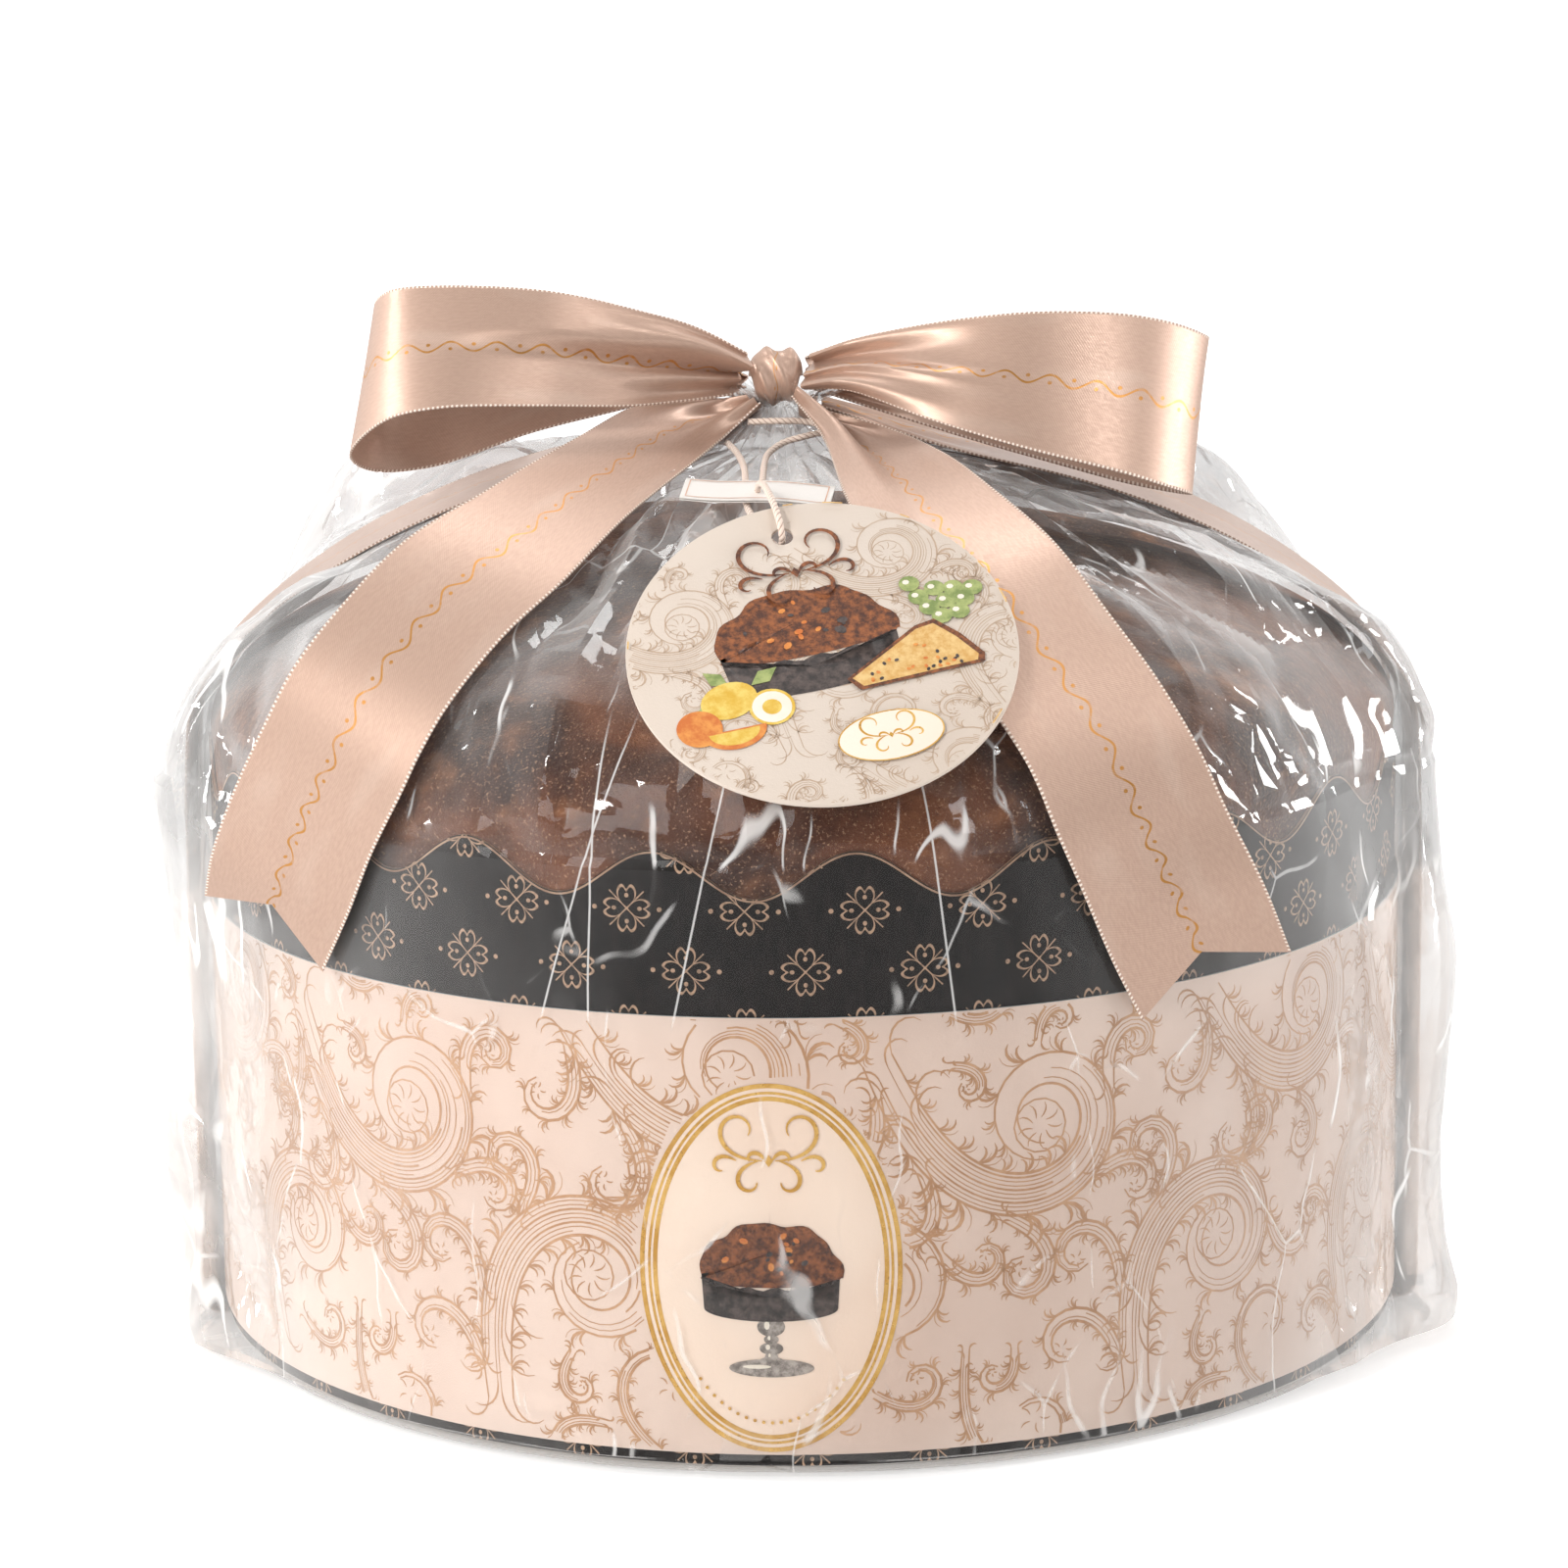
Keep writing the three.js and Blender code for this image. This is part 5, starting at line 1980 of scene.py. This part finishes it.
    def limit(self, offset: float, free: float, kind: str, far: float, away: float, value: float) -> float:
        """Keeps an offset clear of what lies inside and on the film.

        Args:
            offset: The wanted offset outwards.
            free: How freely the film may puff out.
            kind: Which stretch it is on.
            far: Distance from the neck's axis.
            away: How loose the film hangs here.
            value: Where on the stretch.

        Returns:
            The offset to use.
        """
        if kind == "wall":
            bulge = 0.0040 * away * bump_at(value, 0.075, 0.05) + 0.0045 * away * bump_at(value, 0.006, 0.014)
            offset += 0.0008 + bulge * free
            return min(max(offset, -0.0007), 0.0005 + (0.0022 + 0.0060 * away) * free)
        if kind == "top":
            inward = 0.0010 + 0.0050 * (1 - smoothstep(far, 0.095, 0.132))
            return min(max(offset, -inward), 0.0004 + (0.0036 + 0.003 * away) * free)
        if kind == "neck":
            return offset
        return min(max(offset * 0.3, -0.0004), 0.0010)

    def fit_strap(self, grid: np.ndarray, rows: Sequence[tuple[str, float]]) -> None:
        """Presses the film flat where the strap runs down its sides."""
        for r, (kind, _) in enumerate(rows):
            if kind not in ("wall", "foot"):
                continue
            for c in range(self.columns):
                x, y = grid[r, c, 0], grid[r, c, 1]
                held = 1 - smoothstep(abs(y), 0.020, 0.027)
                past = abs(x) - self.strap_reach
                if held > 0 and past > 0:
                    grid[r, c, 0] = math.copysign(self.strap_reach + past * (1 - held), x)

    def mark_loose(self, piece: Piece, loose: np.ndarray) -> None:
        """Stores how crumpled each point is, for the finish."""
        layer = piece.data.attributes.new("loose", "FLOAT", "POINT")
        layer.data.foreach_set("value", loose.astype(np.float32).ravel())

    def face_out(self, piece: Piece) -> None:
        """Turns the sheet's faces outwards."""
        middle = piece.data.polygons[len(piece.data.polygons) // 3]
        if Vector(middle.center).dot(middle.normal) < 0:
            piece.data.flip_normals()


# ---------------------------------------------------------------- ribbon


@dataclass
class Fold:
    """A pleat that starts at the knot and fades along the ribbon."""

    across: float
    depth: float
    fade: float
    sharp: float = 0.07

    def lift(self, travelled: float, share: float) -> float:
        """How far the pleat lifts the ribbon's face at a place."""
        strength = self.depth * (1 - smoothstep(travelled, self.fade * 0.15, self.fade))
        return strength * (smoothstep(share, self.across - self.sharp, self.across + self.sharp) - 0.5)


@dataclass
class RibbonStrip:
    """A length of satin ribbon between two edges."""

    name: str
    node: str
    edge_a: list[Point]
    edge_b: list[Point]
    steps: int
    width: float = 0.038
    thickness: float = 0.00042
    across: int = 30
    notch: float = 0.0
    folds: list[Fold] = field(default_factory=list)
    gather: float = 0.0
    gather_length: float = 0.045
    waves: float = 2.5
    both_ends: bool = False
    sag: float = 0.0
    rests_on: tuple[str, ...] = ("film_sheet",)

    def build(self, finishes: Finishes) -> Piece:
        line_a = even_path(millimetres(self.edge_a), self.steps + 1)
        line_b = even_path(millimetres(self.edge_b), self.steps + 1)
        middles = [(a + b) / 2 for a, b in zip(line_a, line_b)]
        length = path_length(middles)
        rows: list[list[Vector]] = []
        for i in range(self.steps + 1):
            a, b = line_a[i], line_b[i]
            before, after = middles[max(i - 1, 0)], middles[min(i + 1, self.steps)]
            along = (after - before).normalized()
            face = (b - a).cross(along).normalized()
            share = i / self.steps
            travelled = length * share
            nearest = min(travelled, length - travelled) if self.both_ends else travelled
            row = []
            for k in range(self.across + 1):
                t = k / self.across
                place = a.lerp(b, t)
                place = place + face * self.lift(travelled, nearest, t, length)
                if self.notch > 0:
                    place = place - along * (self.notch * (1 - abs(2 * t - 1)) * smoothstep(share, 0.72, 1.0))
                row.append(place)
            rows.append(row)
        piece = lay_sheet(
            self.name, rows, lambda r, c: (length * r / self.steps, self.width * c / self.across)
        )
        thicken(piece, self.thickness)
        smooth(piece, 50)
        piece.data.materials.append(finishes.satin)
        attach(piece, BODY)
        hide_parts(self.node)
        list(self.rests_on)
        LOG.info("%s: ribbon %.0f mm long", self.name, length / MM)
        return piece

    def lift(self, travelled: float, nearest: float, t: float, length: float) -> float:
        """How far the ribbon's face is lifted at a place.

        Args:
            travelled: Distance along the ribbon from its start.
            nearest: Distance from the nearest end at the knot.
            t: Share of the width.
            length: The ribbon's length.

        Returns:
            The lift along the face, in metres.
        """
        lift = sum(fold.lift(travelled, t) for fold in self.folds)
        strength = self.gather * (1 - smoothstep(nearest, 0.0, self.gather_length))
        lift += strength * math.sin(FULL_TURN * self.waves * t + 0.6)
        lift += self.sag * math.sin(math.pi * t) * smoothstep(travelled, 0.0, length * 0.5)
        return lift


@dataclass
class Bow:
    """The knot, two loops and two notched tails."""

    def parts(self) -> list[RibbonStrip]:
        """The loops and tails, with the edges of the construction in millimetres."""
        loop_left = RibbonStrip(
            "satin_loop_left", "bow_loop_left",
            [(-12.3, -12, 229), (-25, -14, 235), (-37, -17, 238.8), (-58, -22, 244.8), (-81, -20, 246.5),
             (-93.2, -15, 245), (-98, -4, 239.5), (-93, 9, 235), (-80, 16, 234), (-60, 17, 236), (-38, 12, 234),
             (-22, 3, 229), (-12.3, -5, 226.5)],
            [(-12.3, -12, 219), (-25.5, -20, 219.5), (-37, -27, 220), (-58, -36, 221.4), (-82, -38, 221),
             (-94, -33, 217.6), (-103.6, -20, 207.5), (-99, -8, 201.5), (-85, 0, 201.2), (-63, 4, 208),
             (-44, 2, 213), (-26, 0, 217.4), (-12.3, -5, 219.5)],
            220, folds=[Fold(0.46, 0.0075, 0.080, 0.10)], gather=0.0016, both_ends=True,
            rests_on=("satin_knot",),
        )
        loop_right = RibbonStrip(
            "satin_loop_right", "bow_loop_right",
            [(2.3, -12, 228), (12.9, -14, 232.4), (31, -20, 236.9), (53, -24, 239.2), (76, -22, 238),
             (88, -17, 234.8), (95.5, -8, 230.5), (92, 5, 229), (78, 11, 230), (58, 12, 232), (37, 8, 232),
             (14, 0, 228), (2.3, -5, 226.5)],
            [(2.3, -12, 220.5), (12.9, -18, 220.3), (30.5, -32, 215.4), (52.5, -43, 210.4), (74.5, -45, 204.8),
             (84, -41, 201), (90, -33, 197.8), (86, -26, 197.2), (76, -22, 198.7), (60, -18, 202.7),
             (40, -10, 207.5), (16, -4, 214.5), (2.3, -5, 219.5)],
            200, folds=[Fold(0.50, 0.0060, 0.060, 0.09)], gather=0.0016, both_ends=True,
            rests_on=("satin_knot",),
        )
        tail_left = RibbonStrip(
            "satin_tail_left", "ribbon_tail_left",
            [(-12.5, -10, 218.2), (-32, -2, 217), (-52, -32, 212), (-71, -58, 205), (-88, -74, 197),
             (-102, -87, 184.5), (-112, -93, 172.5), (-118.5, -94.5, 160.5), (-126, -91, 145), (-132, -85.5, 129.5),
             (-135, -76, 117)],
            [(-8.5, -14, 217), (-15.5, -20, 211.5), (-39.5, -67, 199.8), (-52, -88, 190.3), (-65, -99.5, 180.3),
             (-77, -109.5, 167), (-83, -113, 157.5), (-87.5, -114.5, 148.5), (-94.5, -111, 134.5),
             (-100.5, -106, 119.5), (-107, -99, 105)],
            150, notch=0.0095, gather=0.0012, gather_length=0.035,
        )
        tail_right = RibbonStrip(
            "satin_tail_right", "ribbon_tail_right",
            [(-1.5, -14.5, 217), (6, -33, 209.5), (10.5, -64, 203.3), (17, -89, 195.2), (30, -111, 182.7),
             (39, -124, 170.5), (48.5, -132, 156.5), (54.5, -134.7, 142), (59.5, -133, 130), (66.5, -129.5, 112.5),
             (73, -126, 98.5)],
            [(3, -11, 218), (19.5, -17, 214.4), (31, -39.5, 211.6), (41, -62, 207), (56.5, -88.5, 197),
             (67, -102, 184.5), (77.5, -112, 171), (86, -119, 157), (92, -119.5, 143.5), (100, -119, 127),
             (106.5, -113, 110)],
            150, notch=0.0095, folds=[Fold(0.40, 0.006, 0.070, 0.12)], gather=0.0012, gather_length=0.035,
        )
        return [loop_left, loop_right, tail_left, tail_right]

    def build(self, finishes: Finishes) -> None:
        """Makes the knot, the loops and the tails."""
        Knot().build(finishes)
        for part in self.parts():
            part.build(finishes)


@dataclass
class Knot:
    """The wrap at the bow's middle: one turn of ribbon crushed into slanting folds."""

    centre: Vector = field(default_factory=lambda: Vector((-0.005, -0.010, 0.223)))
    half_width: float = 0.0058
    depth: float = 0.0058
    height: float = 0.0078
    around: int = 120
    across: int = 48

    def build(self, finishes: Finishes) -> Piece:
        """Makes the closed wrap with rounded ends."""
        rows = []
        for i in range(self.across + 1):
            share = 2 * i / self.across - 1
            barrel = (1 - abs(share) ** 3.2) ** 0.5 if abs(share) < 1 else 0.0
            row = []
            for k in range(self.around):
                angle = FULL_TURN * k / self.around
                phase = 3.1 * share + 1.7 * math.sin(angle) + 0.5 * math.cos(angle)
                folds = 0.5 + 0.5 * math.sin(2.2 * phase)
                grow = 1.0 - 0.17 * (1 - folds**1.5) * barrel
                waist = 0.90 + 0.10 * share * share
                x = self.centre.x + self.half_width * share * (1 + 0.10 * math.sin(angle))
                y = self.centre.y + self.depth * barrel * grow * waist * math.cos(angle)
                z = self.centre.z + self.height * barrel * grow * waist * math.sin(angle)
                row.append(Vector((x, y, z)))
            rows.append(row)
        piece = lay_sheet(
            "satin_knot", rows, lambda r, c: (0.042 * c / self.around, 0.038 * r / self.across), closed=True
        )
        weld(piece, 2e-5)
        smooth(piece)
        piece.data.materials.append(finishes.satin)
        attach(piece, BODY)
        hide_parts("bow_knot")
        return piece


@dataclass
class Strap:
    """The ribbon that runs from the knot over the film, down both sides and under the base."""

    film: FilmWrap
    reach: float = 0.1449
    clearance: float = 0.0019
    width: float = 0.038
    thickness: float = 0.00042
    across: int = 22
    steps: int = 420
    fine_steps: int = 2000

    def side_path(self, turn: float, sign: int) -> list[tuple[Vector, float]]:
        """Points from the knot to the middle of the base, each with the ribbon's half width."""
        neck = self.film.neck
        path = [(Vector((neck.x + sign * 0.009, 0, neck.z + 0.0012)), 0.005)]
        over = self.clearance
        grown = FilmWrap(radius=self.film.radius + over, dome_height=self.film.dome_height + over)
        for k in range(11):
            place = grown.top(turn, math.radians(75 - 7.5 * k))
            half = min(self.width / 2, 0.005 + 0.3 * abs(place.x - neck.x - 0.010 * sign))
            path.append((Vector((place.x, 0, place.z)), half))
        fold = (
            (0, 0.110), (0, 0.060), (0, 0.012), (0, 0.005), (0.0005, 0.0024), (0.0022, 0.0008), (0.005, 0.0004),
            (0.020, 0.0004), (0.070, 0.0004),
        )
        path += [(Vector((sign * (self.reach - inset), 0, height)), self.width / 2) for inset, height in fold]
        return path

    def build(self, finishes: Finishes) -> Piece:
        """Makes the strap as one long strip."""
        left = self.side_path(math.pi, -1)
        right = self.side_path(0.0, 1)
        path = [*left, (Vector((0, 0, 0.0004)), self.width / 2), *reversed(right)]
        rows = []
        points = [p for p, _ in path]
        halves = [Vector((h, 0, 0)) for _, h in path]
        last = self.fine_steps
        fine = [(path_point(points, i / last), path_point(halves, i / last).x) for i in range(last + 1)]
        lengths = [0.0]
        for (a, _), (b, _) in zip(fine, fine[1:]):
            lengths.append(lengths[-1] + (b - a).length)
        k = 0
        for i in range(self.steps + 1):
            want = lengths[-1] * i / self.steps
            while k < last - 1 and lengths[k + 1] < want:
                k += 1
            place, half = fine[k]
            gathered = 1 - half / (self.width / 2)
            row = []
            for c in range(self.across + 1):
                t = 2 * c / self.across - 1
                ripple = 0.0016 * gathered * math.sin(7.0 * t + 1.0)
                row.append(place + Vector((0, half * t, ripple)))
            rows.append(row)
        length = lengths[-1]
        piece = lay_sheet(
            "satin_strap", rows, lambda r, c: (length * r / self.steps, self.width * c / self.across)
        )
        thicken(piece, self.thickness)
        smooth(piece, 50)
        piece.data.materials.append(finishes.satin)
        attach(piece, BODY)
        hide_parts("ribbon_strap")
        LOG.info("satin_strap: ribbon %.0f mm long", length / MM)
        return piece


# ---------------------------------------------------------------- tag and label


def set_down(centre: Vector, slope: float, turn: float) -> Matrix:
    """The place of a flat thing turned about its middle and then sloped up at the back."""
    return Matrix.Translation(centre) @ Matrix.Rotation(slope, 4, "X") @ Matrix.Rotation(turn, 4, "Z")


@dataclass
class RoundTag:
    """The round card tag with an eyelet hole, faint scrolls and a plain picture of the loaf."""

    radius: float = 0.0425
    card: float = 0.0010
    hole: float = 0.0024
    hole_up: float = 0.0339
    centre: Vector = field(default_factory=lambda: Vector((0.0046, -0.118, 0.1795)))
    slope: float = math.radians(38.5)
    turn: float = math.radians(14.3)

    def turned(self) -> Matrix:
        """The tag's place and slope."""
        return set_down(self.centre, self.slope, self.turn)

    def lay(self, u: float, v: float, above: float = 0.00004) -> Vector:
        """A place just above the tag's face."""
        return self.turned() @ Vector((u, v, self.card / 2 + above))

    def build_card(self, finishes: Finishes) -> Piece:
        """Cuts the disc, bevels its edge and bores its hole."""
        deselect()
        bpy.ops.mesh.primitive_cylinder_add(vertices=160, radius=self.radius, depth=self.card)
        disc = bpy.context.object
        bpy.ops.mesh.primitive_cylinder_add(
            vertices=32, radius=self.hole, depth=self.card * 4, location=(0, self.hole_up, 0)
        )
        cutter = bpy.context.object
        bore = disc.modifiers.new("bore", "BOOLEAN")
        bore.operation = "DIFFERENCE"
        bore.object = cutter
        soften = disc.modifiers.new("soften", "BEVEL")
        soften.width = 0.00012
        soften.segments = 2
        soften.limit_method = "ANGLE"
        apply_all(disc)
        bpy.data.objects.remove(cutter)
        disc.matrix_world = self.turned()
        piece = settle(disc, "round_tag")
        smooth(piece, 40)
        piece.data.materials.append(finishes.tag)
        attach(piece, BODY)
        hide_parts("hang_tag")
        return piece

    def keep(self, u: float, v: float) -> bool:
        """Whether the tag has card under a flat place."""
        inside = math.hypot(u, v) < self.radius - 0.0005
        return inside and math.hypot(u, v - self.hole_up) > self.hole + 0.0006

    def build_scrolls(self, finishes: Finishes) -> Piece:
        """Prints faint scrolls over the tag's face."""
        drawing = damask_tile(TILE_WIDTH, TILE_HEIGHT)
        strip = PrintStrip("tag_scroll_print", self.lay, self.keep)
        scale = 0.62 * MM
        for shift_u, shift_v in ((-0.052, -0.030), (0.0385, -0.030), (-0.052, -0.0914), (0.0385, -0.0914)):
            for line in drawing.strokes:
                strip.stroke([(shift_u + x * scale, shift_v + y * scale, w * scale * 0.9) for x, y, w in line])
        piece = strip.build([finishes.tag_ink])
        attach(piece, BODY)
        return piece

    def build_picture(self, finishes: Finishes) -> Piece:
        """Prints a loaf with fruit under a flourish, a small oval with curls, and a rim line."""
        strip = PrintStrip("tag_picture", lambda u, v: self.lay(u, v, strip.above), self.keep)
        strip.above = 0.00010
        picture = Picture(strip, 0.0, 0.0, MM, 9)
        picture.loaf(-2.5, 2.0, 19.5)
        picture.fruit()
        picture.flourish(0.0, 22.5, 15.0, Picture.Ink.CRUST)
        ring = [(8.0 + 11.5 * math.cos(t), -27.0 + 6.6 * math.sin(t)) for t in np.linspace(0, FULL_TURN, 49)]
        picture.shape(ring[:-1], Picture.Ink.PLATE)
        strip.rise()
        picture.line(ring, 0.16, Picture.Ink.GOLD, taper=False)
        picture.flourish(8.0, -27.0, 8.0, Picture.Ink.GOLD)
        rim = [(42.0 * math.cos(t), 42.0 * math.sin(t)) for t in np.linspace(0, FULL_TURN, 121)]
        picture.line(rim, 0.16, Picture.Ink.CRUMB, taper=False)
        piece = strip.build(finishes.picture_inks())
        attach(piece, BODY)
        return piece


@dataclass
class StripLabel:
    """The white folded strip label on the string."""

    length: float = 0.034
    width: float = 0.010
    paper: float = 0.00016
    centre: Vector = field(default_factory=lambda: Vector((-0.0093, -0.060, 0.2046)))
    slope: float = math.radians(14)
    turn: float = math.radians(-9)

    def place(self, u: float, v: float, above: float) -> Vector:
        """A place on the gently waved label."""
        wave = 0.00035 * math.sin(u / self.length * 7.0 + 0.6) + 0.0003 * math.sin(v / self.width * 3.0)
        return set_down(self.centre, self.slope, self.turn) @ Vector((u, v, wave + above))

    def build(self, finishes: Finishes) -> Piece:
        """Folds the paper strip over along its top edge."""
        ups, acrosses = 10, 40
        rows = []
        for layer in (0, 1):
            order = range(ups + 1) if layer == 0 else range(ups, -1, -1)
            for k in order:
                v = self.width * (k / ups - 0.5)
                fold = 0.00022 * (1 - (k / ups) ** 6)
                above = fold if layer == 0 else -fold
                spots = [self.length * (c / acrosses - 0.5) for c in range(acrosses + 1)]
                rows.append([self.place(u, v, above) for u in spots])
        piece = lay_sheet(
            "strip_label_paper", rows, lambda r, c: (self.length * c / acrosses, 2 * self.width * r / len(rows))
        )
        thicken(piece, self.paper)
        smooth(piece, 50)
        piece.data.materials.append(finishes.white_paper)
        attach(piece, BODY)
        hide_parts("strip_label")
        return piece

    def build_border(self, finishes: Finishes) -> Piece:
        """Prints the thin line round the label."""
        strip = PrintStrip("strip_label_border", lambda u, v: self.place(u, v, 0.00038))
        half_u, half_v = self.length / 2 - 0.0012, self.width / 2 - 0.0011
        corners = [(-half_u, -half_v), (half_u, -half_v), (half_u, half_v), (-half_u, half_v), (-half_u, -half_v)]
        for (u0, v0), (u1, v1) in zip(corners, corners[1:]):
            strip.stroke([(u0 + (u1 - u0) * i / 16, v0 + (v1 - v0) * i / 16, 0.00013) for i in range(17)])
        piece = strip.build([finishes.rose_gold])
        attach(piece, BODY)
        return piece


# ---------------------------------------------------------------- main


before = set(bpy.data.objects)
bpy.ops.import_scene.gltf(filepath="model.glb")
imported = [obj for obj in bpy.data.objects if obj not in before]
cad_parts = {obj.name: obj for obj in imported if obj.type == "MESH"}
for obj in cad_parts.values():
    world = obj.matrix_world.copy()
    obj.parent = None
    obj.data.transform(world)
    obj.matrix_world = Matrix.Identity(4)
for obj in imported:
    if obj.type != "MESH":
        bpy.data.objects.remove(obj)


def write_sizes(before: tuple[Vector, Vector]) -> None:
    """Writes the construction's box and the finished looks' box.

    Args:
        before: Lowest and highest corner straight after loading.
    """
    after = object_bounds()
    sizes = {
        "cad": [[round(x, 5) for x in corner] for corner in before],
        "visual": [[round(x, 5) for x in corner] for corner in after],
    }
    LOG.info("construction %s, looks %s", sizes["cad"], sizes["visual"])


def main() -> None:
    """Builds the studio and every piece, and reports each one."""
    logging.basicConfig(level=logging.INFO, format="%(message)s")
    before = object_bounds()
    before = (before[0].copy(), before[1].copy())
    studio = Studio()
    studio.place_camera()
    finishes = Finishes()
    TagString().build(finishes)
    LOG.info("string made")
    Loaf().build(finishes)
    LOG.info("loaf made")
    mould = Mould()
    mould.build_wall(finishes)
    mould.build_edge_line(finishes)
    mould.dress_board(finishes)
    LOG.info("mould made")
    band = CardBand()
    band.build(finishes)
    band.build_print(finishes)
    band.build_oval(finishes)
    LOG.info("band made")
    film = FilmWrap()
    film.build(finishes)
    LOG.info("film made")
    Strap(film).build(finishes)
    Bow().build(finishes)
    LOG.info("ribbon made")
    tag = RoundTag()
    tag.build_card(finishes)
    tag.build_scrolls(finishes)
    tag.build_picture(finishes)
    label = StripLabel()
    label.build(finishes)
    label.build_border(finishes)
    LOG.info("tag and label made")
    studio.lay_floor()
    studio.light()
    write_sizes(before)


if __name__ == "__main__":
    main()
